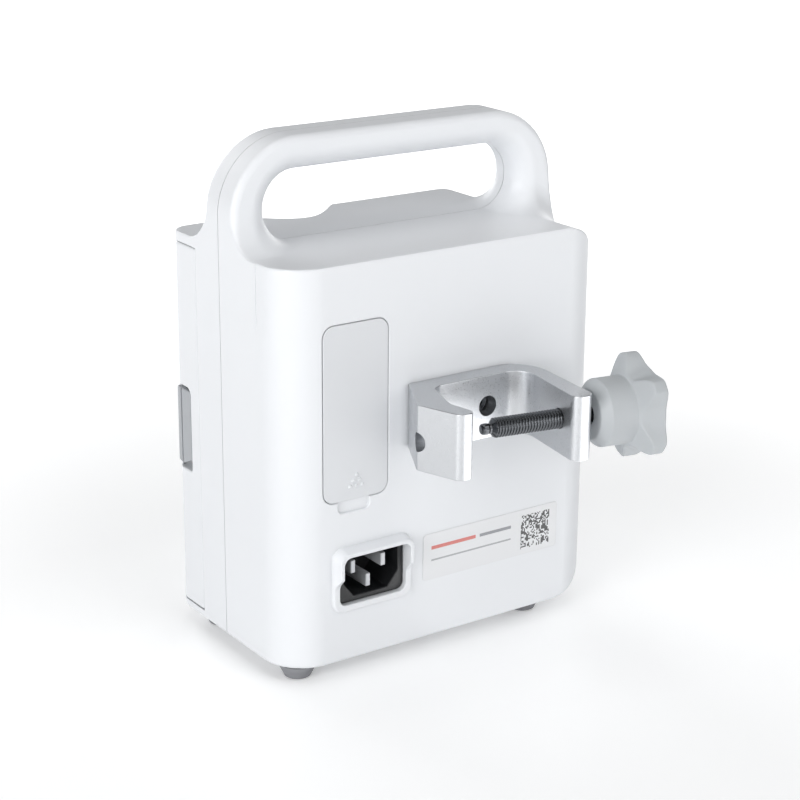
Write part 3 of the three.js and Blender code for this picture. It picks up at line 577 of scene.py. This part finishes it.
# ---------------------------------------------------------------- door
def door_distance(x, y, z):
    radius = np.where(y < -33.0, FRONT_RADIUS, np.where(x > 0, 1.5, KNUCKLE_RADIUS))
    d = rect_distance(x, y, -HALF_WIDTH, HALF_WIDTH, FRONT, DOOR_BACK, radius)
    d = round_and(d, z - DOOR_Z1, 0.8)
    d = round_and(d, DOOR_Z0 - z, 0.8)
    top_edge = np.where(x < TOP_CX, fade(0.8, (z - 146) / 8.0), SHARP)
    bottom_edge = np.where(x < BOTTOM_CX, fade(0.8, (28 - z) / 8.0), SHARP)
    d = round_and(d, roof_distance(x, z), top_edge)
    return round_and(d, floor_distance(x, z), bottom_edge)


def build_door():
    door = contour(
        "door_panel", door_distance,
        lines((-78.2, -52, 0.8), (-52, 62, 4.0), (62, 78.2, 0.8)),
        lines((-45.8, -19.8, 0.8)),
        lines((7.4, 13, 0.8), (13, 33, 1.2), (33, 140, 5.0), (140, 156, 1.2), (156, 164, 0.8)),
    )
    dissolve(door, 0.25)
    cavity = prism(rect(-67.4, HALF_WIDTH - WALL, DOOR_Z0 + WALL, DOOR_Z1 - WALL,
                        [16, 0.5, 0.5, 15]), "y", 0, FRONT + WALL, end_rim=0.6)
    # keep the material behind the latch recess
    cut(cavity, box(68.3, 90, -60, -26.4, 65.5, 105))
    cut(
        door, cavity,
        # tube slots in the bottom and top edges
        *[box(TUBE_X - 4, TUBE_X + 4, -36.6, -10, *span) for span in ((0, 12.5), (158, 170))],
        # room for the hinge lugs, and the pin bores
        *[box(-90, -65.4, -32.4, -10, z - 0.5, z + LUG_HEIGHT + 0.5) for z in LUG_BOTTOMS],
        *[prism(circle(*HINGE, HINGE_BORE, 32), "z", z - 7, z + 13) for z in LUG_BOTTOMS],
        # display recess and opening
        prism(rect(*DISPLAY, gap=0.4), "y", FRONT + 1.4, FRONT, end_rim=-0.4),
        prism(rect(-58, 8, 95, 146, 2), "y", -38, FRONT + 1.0),
        *[prism(key_outline(x, z, KEY_GAP), "y", -38, FRONT, end_rim=-0.4)
          for x, z in KEYS.values()],
        prism(circle(*POWER, POWER_RADIUS + KEY_GAP), "y", -38, FRONT, end_rim=-0.4),
        # latch recess in the right side, its pivot bore and the slot for its tongue
        prism(rect(-60, -28.4, 67.5, 103, [0.1, 1.6, 3.0, 0.1]), "x", 70.3, HALF_WIDTH,
              start_rim=0.5, end_rim=-0.45),
        prism(circle(73.4, -40.6, 1.2, 24), "z", 66, 104.5),
        box(67, 71, -34.2, -28.9, 80, 90),
    )
    return finish(door, 40)


def key_outline(x, z, gap=0.0):
    return rect(x - KEY_HALF_WIDTH, x + KEY_HALF_WIDTH, z - KEY_HALF_HEIGHT,
                z + KEY_HALF_HEIGHT, KEY_CORNER, gap=gap)


door = build_door()
window = finish(prism(rect(*DISPLAY), "y", FRONT + 1.1, FRONT + 0.1, end_rim=0.3,
                      name="display_glass"))


# ---------------------------------------------------------------- keys
def emblem_outline(key, x, z):
    """Triangles, a square, a bar or a disc."""
    if key in ("up", "down"):
        sign = 1 if key == "up" else -1
        return polygon([(x - 3, z - 1.8 * sign), (x + 3, z - 1.8 * sign), (x, z + 2.6 * sign)])
    if key == "start":
        return polygon([(x - 2.2, z - 2.8), (x + 2.8, z), (x - 2.2, z + 2.8)])
    if key == "stop":
        return rect(x - 2.3, x + 2.3, z - 2.3, z + 2.3, 0.4, 3)
    if key == "menu":
        return rect(x - 3, x + 3, z - 0.5, z + 0.5, 0.3, 3)
    return circle(x, z, 2.2, 32)


def emboss(outline):
    return prism(outline, "y", FRONT - 0.5, FRONT - 1.2, end_rim=0.15)


def build_key(key, outline, emblem):
    cap = prism(outline, "y", -41.7, FRONT - 0.9, end_rim=0.9, count=6, name="button_" + key)
    return finish(join(cap, emblem))


keys = {
    key: build_key(key, key_outline(x, z), emboss(emblem_outline(key, x, z)))
    for key, (x, z) in KEYS.items()
}
power_ring = cut(emboss(circle(*POWER, 3.4)),
                 prism(circle(*POWER, 2.5), "y", FRONT, FRONT - 3))
keys["power"] = build_key("power", circle(*POWER, POWER_RADIUS, 64), power_ring)

# ---------------------------------------------------------------- latch lever
# x, y, corner radius
LATCH_CORNERS = [
    (71.7, -42, 0.8), (74.8, -42, 1.2), (75.4, -39.5, 2), (75.4, -30.5, 0.6),
    (73.2, -30.5, 0.4), (73.2, -37.0, 0.4), (71.7, -37.0, 0.4),
]
# z, inset
LATCH_STATIONS = [(69, 0.5), (69.15, 0.22), (69.5, 0), (100.5, 0), (100.85, 0.22), (101, 0.5)]
# y, z of the cut that slants the blade's lower end
LATCH_SLANT = [(-37.2, 60), (-25, 60), (-25, 73.6), (-30.5, 72.0), (-37.2, 69.0)]


def build_latch():
    """A bar with a raised outer blade and a tongue."""
    latch = loft(polygon(round_corners(LATCH_CORNERS, 6)), "z", LATCH_STATIONS, "latch_lever")
    groove = prism(rect(-37.9, -37.0, 60, 110, 0.3, 3), "x", 74.7, 80)
    cut(latch, prism(polygon(LATCH_SLANT), "x", 60, 90), groove)
    tongue = prism(rect(-33, -30.5, 82, 88, 0.4, 4), "x", 69.0, 73.5, start_rim=0.3)
    join(latch, tongue)
    cut(latch, prism(circle(73.4, -40.6, 0.95, 24), "z", 60, 110))
    return finish(latch)


latch = build_latch()

# ---------------------------------------------------------------- battery cover
# x, z of the raised dots
LID_DOTS = [(44.5, 82.8), (46, 80.6), (43.3, 80.6), (47.5, 78.3), (44.8, 78.3), (42.1, 78.3)]
LID_RIBS_X = (36, 52)


def build_cover():
    cover = prism(rect(*BATTERY_LID, 10), "y", BACK - 1.3, BACK, end_rim=0.3,
                  name="battery_lid")
    for x, z in LID_DOTS:
        join(cover, prism(circle(x, z, 0.85, 24), "y", BACK - 0.4, BACK + 0.5,
                          end_rim=0.5, count=6))
    for x in LID_RIBS_X:
        join(cover, box(x, x + 2, BACK - 2.6, BACK - 1.2, 78, 138))
    return finish(cover)


cover = build_cover()

# ---------------------------------------------------------------- feet
# z, radius
FOOT_PROFILE = [
    (0.0, 4.3), (0.1, 4.8), (0.35, 5.25), (0.8, 5.55), (1.3, 5.75), (4.2, 7.2), (4.6, 7.4),
    (5.7, 7.45),
]
FOOT_PLACES = {
    "front_right": (65.5, -26), "front_left": (-47.5, -26),
    "rear_right": (65.5, 33.5), "rear_left": (-47.5, 32),
}


def build_foot(name, x, y):
    rings = [[(*point, z) for point in circle(x, y, radius, 64)(0)] for z, radius in FOOT_PROFILE]
    return finish(rings_object(rings, "rubber_foot_" + name))


feet = {name: build_foot(name, *place) for name, place in FOOT_PLACES.items()}

# ---------------------------------------------------------------- mains inlet
# x, z, corner radius of the socket
INLET_CAVITY = [
    (24.7, 49.3, 0.9), (49.9, 49.3, 0.9), (49.9, 37.9, 0.7), (45.4, 32.3, 0.7),
    (29.7, 32.3, 0.7), (24.7, 38.4, 0.7),
]
INLET_PINS = {"line": (44.6, 43.6), "neutral": (30.5, 43.6), "earth": (37.6, 36.5)}


def build_inlet():
    inlet = prism(rect(22.35, 52.85, 30.15, 50.85, 2.9), "y", 39.6, 43.4, end_rim=0.35,
                  name="inlet_body")
    join(inlet, prism(rect(23.3, 51.3, 31.0, 50.5, 1.2), "y", 22, 39.7))
    cut(inlet, prism(polygon(round_corners(INLET_CAVITY, 5)), "y", 25.5, 43.4, end_rim=-0.3),
        *[box(x - 1.25, x + 1.25, 20, 27, z - 2.95, z + 2.95) for x, z in INLET_PINS.values()])
    return finish(inlet)


inlet = build_inlet()
pins = {
    name: finish(prism(rect(x - 1.1, x + 1.1, z - 2.7, z + 2.7, 0.3, 4), "y", 18, 41.6,
                       end_rim=0.45, count=4, name="pin_" + name))
    for name, (x, z) in INLET_PINS.items()
}
label = finish(prism(rect(-55, 13, 30.6, 50.4, 1.6), "y", BACK + 0.06, BACK + 0.24,
                     end_rim=0.05, name="information_label"))

# ---------------------------------------------------------------- pole clamp
CLAMP_Y = BACK + 0.3
# x, distance behind CLAMP_Y, corner radius
CLAMP_CORNERS = [
    (-36.0, 0, 14.0), (20.9, 0, 1.2), (33.0, 22.8, 1.6), (26.6, 42.0, 3.6), (19.3, 42.0, 3.6),
    (21.9, 28.5, 8.0), (16.0, 10.4, 3.0), (12.4, 8.5, 2.0), (-28.4, 8.5, 8.0),
    (-21.3, 49.8, 4.1), (-30.4, 49.8, 4.1),
]
# the clamp screw: a point on its axis, the direction to the knob and two across it
SCREW_ORIGIN = np.array([0.0, 77.0, 103.2])
SCREW_AXIS = np.array([-0.98418, 0.17715, 0.0])
ACROSS = np.array([0.17715, 0.98418, 0.0])
UPWARD = np.array([0.0, 0.0, 1.0])
SCREW_BORE = 4.15


def screw_ring(along, radii):
    """Ring about the screw's axis with one radius for each point."""
    angles = [2 * math.pi * i / len(radii) for i in range(len(radii))]
    return [SCREW_ORIGIN + SCREW_AXIS * along + r * (math.cos(a) * ACROSS + math.sin(a) * UPWARD)
            for a, r in zip(angles, radii)]


def screw_body(profile, count, name="tool"):
    """Turned body from stations of (place along the screw, radius)."""
    return rings_object([screw_ring(along, [radius] * count) for along, radius in profile], name)


def build_clamp():
    corners = [(x, CLAMP_Y + y, radius) for x, y, radius in CLAMP_CORNERS]
    clamp = prism(polygon(round_corners(corners, 9)), "z", 89.2, 115.2,
                  start_rim=0.35, end_rim=0.35, count=3, name="pole_clamp")
    cut(clamp, screw_body([(18, SCREW_BORE), (60, SCREW_BORE)], 48),
        *[prism(circle(x, MOUNT_Z, 4.2), "y", CLAMP_Y + 1.2, CLAMP_Y + 14) for x in MOUNT_X],
        *[prism(circle(x, MOUNT_Z, 2.3), "y", 40, 60) for x in MOUNT_X],
        prism(circle(CLAMP_Y + 22.8, 100.5, 3.8), "x", 26, 40))
    return finish(clamp, 32)


def build_mount_screw(side, x):
    """Socket screw with a hexagonal recess."""
    screw = prism(circle(x, MOUNT_Z, 3.8), "y", CLAMP_Y + 1.3, CLAMP_Y + 2.9, end_rim=0.4,
                  name="socket_screw_" + side)
    join(screw, prism(circle(x, MOUNT_Z, 2.0), "y", 34, CLAMP_Y + 1.5))
    cut(screw, prism(circle(x, MOUNT_Z, 1.7, 6), "y", CLAMP_Y + 2.0, CLAMP_Y + 5))
    return finish(screw)


clamp = build_clamp()
mount_screws = {side: build_mount_screw(side, x) for side, x in zip(("left", "right"), MOUNT_X)}

# place along the screw, radius
TIP_PROFILE = [
    (-9.6, 1.2), (-9.5, 1.6), (-9.2, 1.95), (-8.8, 2.15), (-8.0, 2.2), (-7.4, 2.2), (-6.9, 2.2),
    (-6.6, 1.9),
]
tip = finish(screw_body(TIP_PROFILE, 40, "screw_tip_pad"))

THREAD_PITCH, THREAD_RADIUS, THREAD_DEPTH, THREAD_SIDES = 1.25, 3.9, 0.62, 40
THREAD_START, THREAD_END = -5.6, 33.8


def thread_radius(along, i):
    """Radius where a ridge winds round the core, tapering at the start."""
    if along > THREAD_END:
        return THREAD_RADIUS - THREAD_DEPTH
    phase = (along / THREAD_PITCH - i / THREAD_SIDES) % 1.0
    ridge = min(1.0, max(0.0, 1.5 - abs(phase - 0.5) * 4.2))
    taper = 2.0 + max(0.0, along - THREAD_START) * 1.35
    return min(THREAD_RADIUS - THREAD_DEPTH * (1 - ridge), taper)


def build_rod():
    stations = (list(np.linspace(-6.3, -5.7, 3))
                + list(np.arange(THREAD_START, 34.0, THREAD_PITCH / 10)) + [34.2, 44.0])
    rings = [screw_ring(s, [thread_radius(s, i) for i in range(THREAD_SIDES)]) for s in stations]
    return finish(rings_object(rings, "threaded_rod"), 60)


rod = build_rod()


def knob_distance(x, y, z):
    px, py, v = x - SCREW_ORIGIN[0], y - SCREW_ORIGIN[1], z - SCREW_ORIGIN[2]
    along = px * SCREW_AXIS[0] + py * SCREW_AXIS[1]
    u = px * ACROSS[0] + py * ACROSS[1]
    r = np.hypot(u, v)
    # hub: a cylinder with a chamfer at its inner end
    hub = round_and(r - 13.5, 36.9 - along, 0.3)
    hub = round_and(hub, (r - 10.0 - (along - 36.9) * 0.95) * 0.725, 0.25)
    hub = np.maximum(hub, along - 58)
    # five lobes, with valleys that get shallower outwards
    wave = 0.5 + 0.5 * np.cos(5 * (np.arctan2(v, u) - math.radians(38.1)))
    outward = np.clip((along - 51.8) / 9.7, 0, 1)
    valley = 14.3 + 3.6 * outward
    peak = 21.95 - 0.2 * outward
    lobe = wave ** 1.75 * 1.13
    lobe = lobe - (np.sqrt((lobe - 1.0) ** 2 + 0.0016) + lobe - 1.0) * 0.5    # soft limit at 1
    star = (r - (valley + (peak - valley) * lobe)) * 0.8
    # shallow cone on the hub's side, flat outer face with a dish
    star = round_and(star, (51.77 + 0.45 * (r - 14.0) - along) * 0.912, 0.55)
    star = round_and(star, along - 61.6, 1.4)
    dish = np.hypot(np.maximum(r - 4.0, 0), along - 66.0) - 5.6
    star = round_and(star, -dish, 0.8)
    bore = np.maximum(r - SCREW_BORE, along - 44.3)
    return round_and(round_or(hub, star, 0.3), -bore, 0.3)


def build_knob():
    x, y, z = SCREW_ORIGIN + SCREW_AXIS * 49.5
    knob = contour("star_knob", knob_distance, lines((x - 18, x + 18.5, KNOB_STEP)),
                   lines((y - 25, y + 25, KNOB_STEP)), lines((z - 24, z + 24, KNOB_STEP)))
    dissolve(knob, 0.4)
    return finish(knob, 50)


knob = build_knob()


# ---------------------------------------------------------------- shader helpers
def feed(target, inputs):
    """Sets a node's inputs from values, or links them from sockets."""
    for key, value in inputs.items():
        if isinstance(value, bpy.types.NodeSocket):
            target.id_data.links.new(value, target.inputs[key])
        else:
            target.inputs[key].default_value = value


def add_node(tree, kind, inputs=None, **settings):
    node = tree.nodes.new("ShaderNode" + kind)
    for key, value in settings.items():
        setattr(node, key, value)
    feed(node, inputs or {})
    return node


def calculate(tree, operation, *values):
    return add_node(tree, "Math", dict(enumerate(values)), operation=operation).outputs[0]


def remap(tree, value, source, target, **settings):
    inputs = {"Value": value, "From Min": source[0], "From Max": source[1],
              "To Min": target[0], "To Max": target[1]}
    return add_node(tree, "MapRange", inputs, **settings).outputs[0]


def new_material(name):
    material = bpy.data.materials.new(name)
    material.use_nodes = True
    return material, material.node_tree, material.node_tree.nodes["Principled BSDF"]


def colour(code):
    """Linear colour from an sRGB hex code."""
    parts = [int(code[i:i + 2], 16) / 255 for i in (0, 2, 4)]
    return (*[p / 12.92 if p <= 0.04045 else ((p + 0.055) / 1.055) ** 2.4 for p in parts], 1)


def surface(name, code, roughness, metal=0.0, grain=1800, bump=0.06, vary=0.03,
            gloss_vary=0.06, specular=0.5, coat=0.0, stretch=(1, 1, 1)):
    """Moulded or machined surface: fine grain, slow colour drift and uneven gloss."""
    material, tree, shader = new_material(name)
    place = add_node(tree, "TexCoord").outputs["Object"]
    grain_place = add_node(tree, "Mapping", {"Vector": place, "Scale": stretch}).outputs[0]
    fine = add_node(tree, "TexNoise", {"Vector": grain_place, "Scale": grain, "Detail": 3})
    slow = add_node(tree, "TexNoise", {"Vector": place, "Scale": 22, "Detail": 4})
    fine, slow = fine.outputs["Fac"], slow.outputs["Fac"]
    mixed = calculate(tree, "MULTIPLY_ADD", slow, 0.7, calculate(tree, "MULTIPLY", fine, 0.3))
    brightness = remap(tree, mixed, (0.25, 0.75), (1 - vary, 1 + vary))
    tint = add_node(tree, "HueSaturation", {"Color": colour(code), "Value": brightness})
    relief = add_node(tree, "Bump", {"Strength": bump, "Distance": 0.0002, "Height": fine})
    feed(shader, {
        "Base Color": tint.outputs[0],
        "Roughness": remap(tree, fine, (0.3, 0.7),
                           (roughness - gloss_vary, roughness + gloss_vary)),
        "Normal": relief.outputs[0],
        "Metallic": metal,
        "Specular IOR Level": specular,
        "Coat Weight": coat,
    })
    return material


def mix_base(material, factor, under=None, over=None):
    """Mixes a colour under or over whatever feeds the base colour."""
    tree = material.node_tree
    base = tree.nodes["Principled BSDF"].inputs["Base Color"]
    source = base.links[0].from_socket
    mix = add_node(tree, "Mix", {"Factor": factor, "A": under or source, "B": over or source},
                   data_type="RGBA")
    tree.links.new(mix.outputs["Result"], base)


def paint_crevice_shade(material, distance, least):
    """Paints shade into close corners and seams: the base colour is mixed towards grey where
    ambient occlusion finds nearby surfaces.
    """
    tree = material.node_tree
    occlusion = add_node(tree, "AmbientOcclusion", {"Distance": distance}, samples=6)
    factor = remap(tree, occlusion.outputs["AO"], (0.2, 0.85), (least, 1.0))
    # painted shade: this grey goes under the base colour in close corners and seams
    mix_base(material, factor, under=(0.30, 0.31, 0.32, 1))


def rect_mask(tree, x0, x1, z0, z1):
    """1 inside a rectangle of x and z, in mm."""
    place = add_node(tree, "TexCoord").outputs["Object"]
    xyz = add_node(tree, "SeparateXYZ", {0: place})

    def between(axis, low, high):
        return calculate(tree, "MULTIPLY",
                         calculate(tree, "GREATER_THAN", xyz.outputs[axis], low * MM),
                         calculate(tree, "LESS_THAN", xyz.outputs[axis], high * MM))
    return calculate(tree, "MULTIPLY", between("X", x0, x1), between("Z", z0, z1))


def paint_rects(material, table):
    for *bounds, code in table:
        mix_base(material, rect_mask(material.node_tree, *bounds), over=colour(code))


# ---------------------------------------------------------------- materials
BRUSHED = dict(metal=1.0, bump=0.05)
KEY_LOOK = dict(roughness=0.55, grain=1600, bump=0.08)
GREY_PART = dict(grain=1400, bump=0.10, vary=0.02)
materials = {
    "housing_white": surface("housing_plastic", "eceef1", roughness=0.42, bump=0.05, vary=0.008),
    "cover_white": surface("lid_plastic", "dfe1e4", roughness=0.45, bump=0.05, vary=0.008),
    "foot_rubber": surface("foot_rubber", "86878b", roughness=0.75, grain=900, bump=0.25,
                           vary=0.08),
    "steel": surface("bright_steel", "c9cbce", roughness=0.26, grain=500, vary=0.04,
                     stretch=(1, 1, 12), **BRUSHED),
    "dark_steel": surface("thread_steel", "5e6063", roughness=0.15, metal=1.0, grain=700,
                          vary=0.08),
    "clamp_aluminium": surface("cast_aluminium", "c9cbce", roughness=0.33, metal=0.95,
                               grain=2600, bump=0.12, vary=0.04, gloss_vary=0.08),
    "machined_aluminium": surface("machined_aluminium", "c6c8ca", roughness=0.32, metal=1.0,
                                  grain=400, vary=0.04, stretch=(14, 1, 1)),
    "brass": surface("brass", "c9a560", roughness=0.3, grain=500, vary=0.05, **BRUSHED),
    "black_plastic": surface("black_plastic", "1b1c1e", roughness=0.38, grain=1500, bump=0.12,
                             vary=0.12),
    "circuit_board": surface("circuit_board", "1f6a3e", roughness=0.35, grain=320, bump=0.22,
                             vary=0.22, coat=0.4),
    "battery_wrap": surface("battery_wrap", "2e4468", roughness=0.3, grain=300, bump=0.1,
                            vary=0.06, coat=0.3),
    "belt_rubber": surface("belt_rubber", "232324", roughness=0.7, grain=700, bump=0.3,
                           vary=0.1),
    "knob_grey": surface("knob_plastic", "b9bdc0", roughness=0.5, **GREY_PART),
    "latch_grey": surface("latch_plastic", "aeb1b5", roughness=0.48, **GREY_PART),
    "display_frame": surface("display_frame", "2c2f33", roughness=0.5, grain=900, bump=0.1,
                             vary=0.06),
    "inner_plate": surface("inner_plate_plastic", "d5d8db", roughness=0.5, grain=1500,
                           bump=0.08, vary=0.015),
    "finger_plastic": surface("finger_plastic", "e2e5e8", roughness=0.38, grain=1500,
                              bump=0.05, vary=0.015),
    "key_grey": surface("key_silicone", "c9ccd0", vary=0.015, **KEY_LOOK),
    "key_red": surface("key_silicone_red", "c4543f", vary=0.02, **KEY_LOOK),
    "key_green": surface("key_silicone_green", "3c9a63", vary=0.02, **KEY_LOOK),
}

# x0, x1, z0, z1, colour
LABEL_BARS = [
    (-13, 9, 43.4, 44.9, "d0746c"), (-31, -15, 43.5, 44.8, "8b8d92"),
    (-31, 9, 38.5, 39.2, "a6a8ab"),
]
CODE_AREA = (-51.0, -36.24, 33.0, 47.76)
CODE_CELL = 0.6
SCREEN_BLOCKS = [
    (-56, 6, 140, 144.5, "2d5f86"), (-54, -20, 118, 134, "1e3a4c"), (-16, 4, 118, 134, "22504a"),
    (-51, -44, 121, 131, "d8e4ea"), (-41, -34, 121, 131, "d8e4ea"),
    (-31, -24, 121, 131, "d8e4ea"), (-54, 4, 110, 112, "39b08a"), (-54, -18, 98, 105, "28323a"),
    (-14, 4, 98, 105, "28323a"), (-13, 1, 121, 125, "7fd0b0"),
]


def label_material():
    """Film with plain bars and a square of random cells."""
    film = surface("label_film", "e6e7e9", roughness=0.35, grain=1200, bump=0.03, vary=0.01,
                   coat=0.25)
    paint_rects(film, LABEL_BARS)
    tree = film.node_tree
    per_metre = 1 / (CODE_CELL * MM)
    cells = add_node(tree, "Mapping", {"Vector": add_node(tree, "TexCoord").outputs["Object"],
                                       "Scale": (per_metre, 0, per_metre)})
    whole = add_node(tree, "VectorMath", {0: cells.outputs[0]}, operation="FLOOR")
    noise = add_node(tree, "TexWhiteNoise", {"Vector": whole.outputs[0]})
    filled = calculate(tree, "GREATER_THAN", noise.outputs["Value"], 0.5)
    mask = calculate(tree, "MULTIPLY", filled, rect_mask(tree, *CODE_AREA))
    mix_base(film, mask, over=colour("2b2c2e"))
    return film


materials["label_film"] = label_material()
# painted shade in the housing's corners, seams and recesses, reaching 4 mm
paint_crevice_shade(materials["housing_white"], distance=0.004, least=0.55)
pin_metal = surface("pin_metal", "c4c6c9", roughness=0.34, metal=0.25, grain=500, bump=0.05,
                    stretch=(1, 12, 1))
materials["screen"] = surface("screen_glass", "11161b", roughness=0.22, grain=900, bump=0.0,
                              vary=0.02, gloss_vary=0.02, specular=0.3)
paint_rects(materials["screen"], SCREEN_BLOCKS)

# ---------------------------------------------------------------- pieces in the frame
KEY_SLOTS = {"stop": "key_red", "start": "key_green"}
# object, body it rides, material slot, frame node it replaces
PIECES = [
    (rear, "housing", "housing_white", "rear_housing"),
    (front, "housing", "housing_white", "front_housing"),
    (door, "door", "housing_white", "door_shell"),
    (window, "door", "screen", "display_window"),
    (latch, "latch", "latch_grey", "door_latch_handle"),
    (cover, "cover", "cover_white", "battery_cover"),
    (inlet, "housing", "black_plastic", "mains_inlet"),
    (label, "housing", "label_film", "rating_label"),
    (clamp, "housing", "clamp_aluminium", "clamp_bracket"),
    (tip, "screw_tip", "dark_steel", "clamp_screw_tip"),
    (rod, "screw", "dark_steel", "clamp_screw_rod"),
    (knob, "screw", "knob_grey", "clamp_knob"),
    *[(obj, "housing", "foot_rubber", "foot_" + name) for name, obj in feet.items()],
    *[(obj, "housing", "steel", "inlet_pin_" + name) for name, obj in pins.items()],
    *[(obj, "housing", "dark_steel", "clamp_mount_screw_" + name)
      for name, obj in mount_screws.items()],
    *[(obj, "button_" + name, KEY_SLOTS.get(name, "key_grey"), "key_" + name)
      for name, obj in keys.items()],
]
for obj, body, slot, node_name in PIECES:
    obj.data.materials.clear()
    obj.data.materials.append(materials[slot])
    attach(obj, body)
    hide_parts(node_name)
for obj in pins.values():
    obj.data.materials[0] = pin_metal

# the frame's other pieces keep their shape and take the materials
replaced = {piece[3] for piece in PIECES}
slots = {part["node"]: part["material_slot"] for part in frame["record"]["subparts"]}
for name, obj in frame["nodes"].items():
    if name in replaced:
        continue
    material = materials[slots[name]]
    if obj.data.materials:
        for i in range(len(obj.data.materials)):
            obj.data.materials[i] = material
    else:
        obj.data.materials.append(material)

# ---------------------------------------------------------------- floor
GLOW_NEAR = 0.24            # the floor's glow close to the pump; it is 1 far away
MIRROR_GLOW = 1.4           # extra glow of a patch seen only in reflections
MIRROR_DIRECTION = (-0.574, 0.819, 0)


def floor_material():
    """White sweep that glows for direct and mirror views only."""
    material, tree, shader = new_material("floor")
    place = add_node(tree, "TexCoord").outputs["Object"]
    away = add_node(tree, "VectorMath", {0: place}, operation="LENGTH").outputs["Value"]
    glow = remap(tree, away, (0.16, 0.9), (GLOW_NEAR, 1.0), interpolation_type="SMOOTHSTEP")
    rays = add_node(tree, "LightPath").outputs
    seen = calculate(tree, "MAXIMUM", rays["Is Camera Ray"], rays["Is Glossy Ray"])
    glow = calculate(tree, "MULTIPLY", glow, seen)
    direction = add_node(tree, "VectorMath", {0: place}, operation="NORMALIZE").outputs[0]
    facing = add_node(tree, "VectorMath", {0: direction, 1: MIRROR_DIRECTION},
                      operation="DOT_PRODUCT").outputs["Value"]
    patch = remap(tree, facing, (0.72, 0.97), (0.0, MIRROR_GLOW),
                  interpolation_type="SMOOTHSTEP")
    feed(shader, {
        "Base Color": (0.93, 0.935, 0.94, 1),
        "Roughness": 0.6,
        "Emission Color": (1, 1, 1, 1),
        "Emission Strength": calculate(tree, "MULTIPLY_ADD", patch, rays["Is Glossy Ray"], glow),
    })
    material.cycles.emission_sampling = "NONE"
    return material


def build_floor():
    bm = bmesh.new()
    bmesh.ops.create_grid(bm, x_segments=2, y_segments=2, size=6.0)
    mesh = bpy.data.meshes.new("floor")
    bm.to_mesh(mesh)
    bm.free()
    floor = bpy.data.objects.new("floor", mesh)
    collection.objects.link(floor)
    floor.location = (0, 0, -0.0002)    # just under the feet
    mesh.materials.append(floor_material())


build_floor()

# ---------------------------------------------------------------- world and lights
AMBIENT, BACKDROP = 0.12, 1.05      # world strength for lighting and for the camera
LAMP_DISTANCE = 1.8
LAMP_TARGET = Vector((0, 0, 0.1))
# name, azimuth seen from above (0 in front, 90 at +X), elevation, size in m, power in W
LAMPS = [
    ("side_key", 105, 14, 0.9, 14.9), ("side_fill", 130, 14, 0.9, 4.9),
    ("rear", 180, 14, 0.9, 4.3), ("rear_left", 210, 14, 0.9, 3.8),
    ("rear_high", 200, 50, 1.0, 5.2), ("front", 0, 14, 0.9, 13.0),
    ("front_left", 300, 14, 0.9, 6.5), ("overhead", 90, 88, 1.1, 6.2),
]


def build_world():
    world = bpy.data.worlds.new("studio")
    bpy.context.scene.world = world
    world.use_nodes = True
    tree = world.node_tree
    camera_ray = add_node(tree, "LightPath").outputs["Is Camera Ray"]
    feed(tree.nodes["Background"], {
        "Color": (0.97, 0.985, 1.0, 1),
        "Strength": remap(tree, camera_ray, (0.0, 1.0), (AMBIENT, BACKDROP)),
    })


def add_lamp(name, azimuth, elevation, size, power):
    a, e = math.radians(azimuth), math.radians(elevation)
    data = bpy.data.lights.new(name, "AREA")
    data.energy = power
    data.size = size
    lamp = bpy.data.objects.new(name, data)
    collection.objects.link(lamp)
    lamp.visible_camera = False
    place = Vector((LAMP_DISTANCE * math.sin(a) * math.cos(e),
                    -LAMP_DISTANCE * math.cos(a) * math.cos(e),
                    0.1 + LAMP_DISTANCE * math.sin(e)))
    lamp.location = place
    lamp.rotation_mode = "QUATERNION"
    lamp.rotation_quaternion = (LAMP_TARGET - place).to_track_quat("-Z", "Y")


build_world()
for lamp_row in LAMPS:
    add_lamp(*lamp_row)
bpy.context.scene.view_settings.view_transform = "Standard"
bpy.context.scene.view_settings.look = "None"

# ---------------------------------------------------------------- camera
CAMERA_PLACE = Vector((432.950, 629.779 - ORIGIN_Y, 347.251)) * MM
CAMERA_TARGET = Vector((24.635, 44.0 - ORIGIN_Y, 109.11)) * MM
CAMERA_ROLL = math.radians(0.425)


def build_camera():
    data = bpy.data.cameras.new("camera")
    camera = bpy.data.objects.new("camera", data)
    collection.objects.link(camera)
    forward = (CAMERA_TARGET - CAMERA_PLACE).normalized()
    level = forward.cross(Vector((0, 0, 1))).normalized()
    upright = level.cross(forward)
    right = level * math.cos(CAMERA_ROLL) + upright * math.sin(CAMERA_ROLL)
    up = upright * math.cos(CAMERA_ROLL) - level * math.sin(CAMERA_ROLL)
    rows = [(right[i], up[i], -forward[i], CAMERA_PLACE[i]) for i in range(3)]
    camera.matrix_world = Matrix((*rows, (0, 0, 0, 1)))
    data.sensor_width = 36.0
    data.lens = 88.34616
    data.clip_start = 0.01
    bpy.context.scene.camera = camera


build_camera()

bpy.context.view_layer.update()
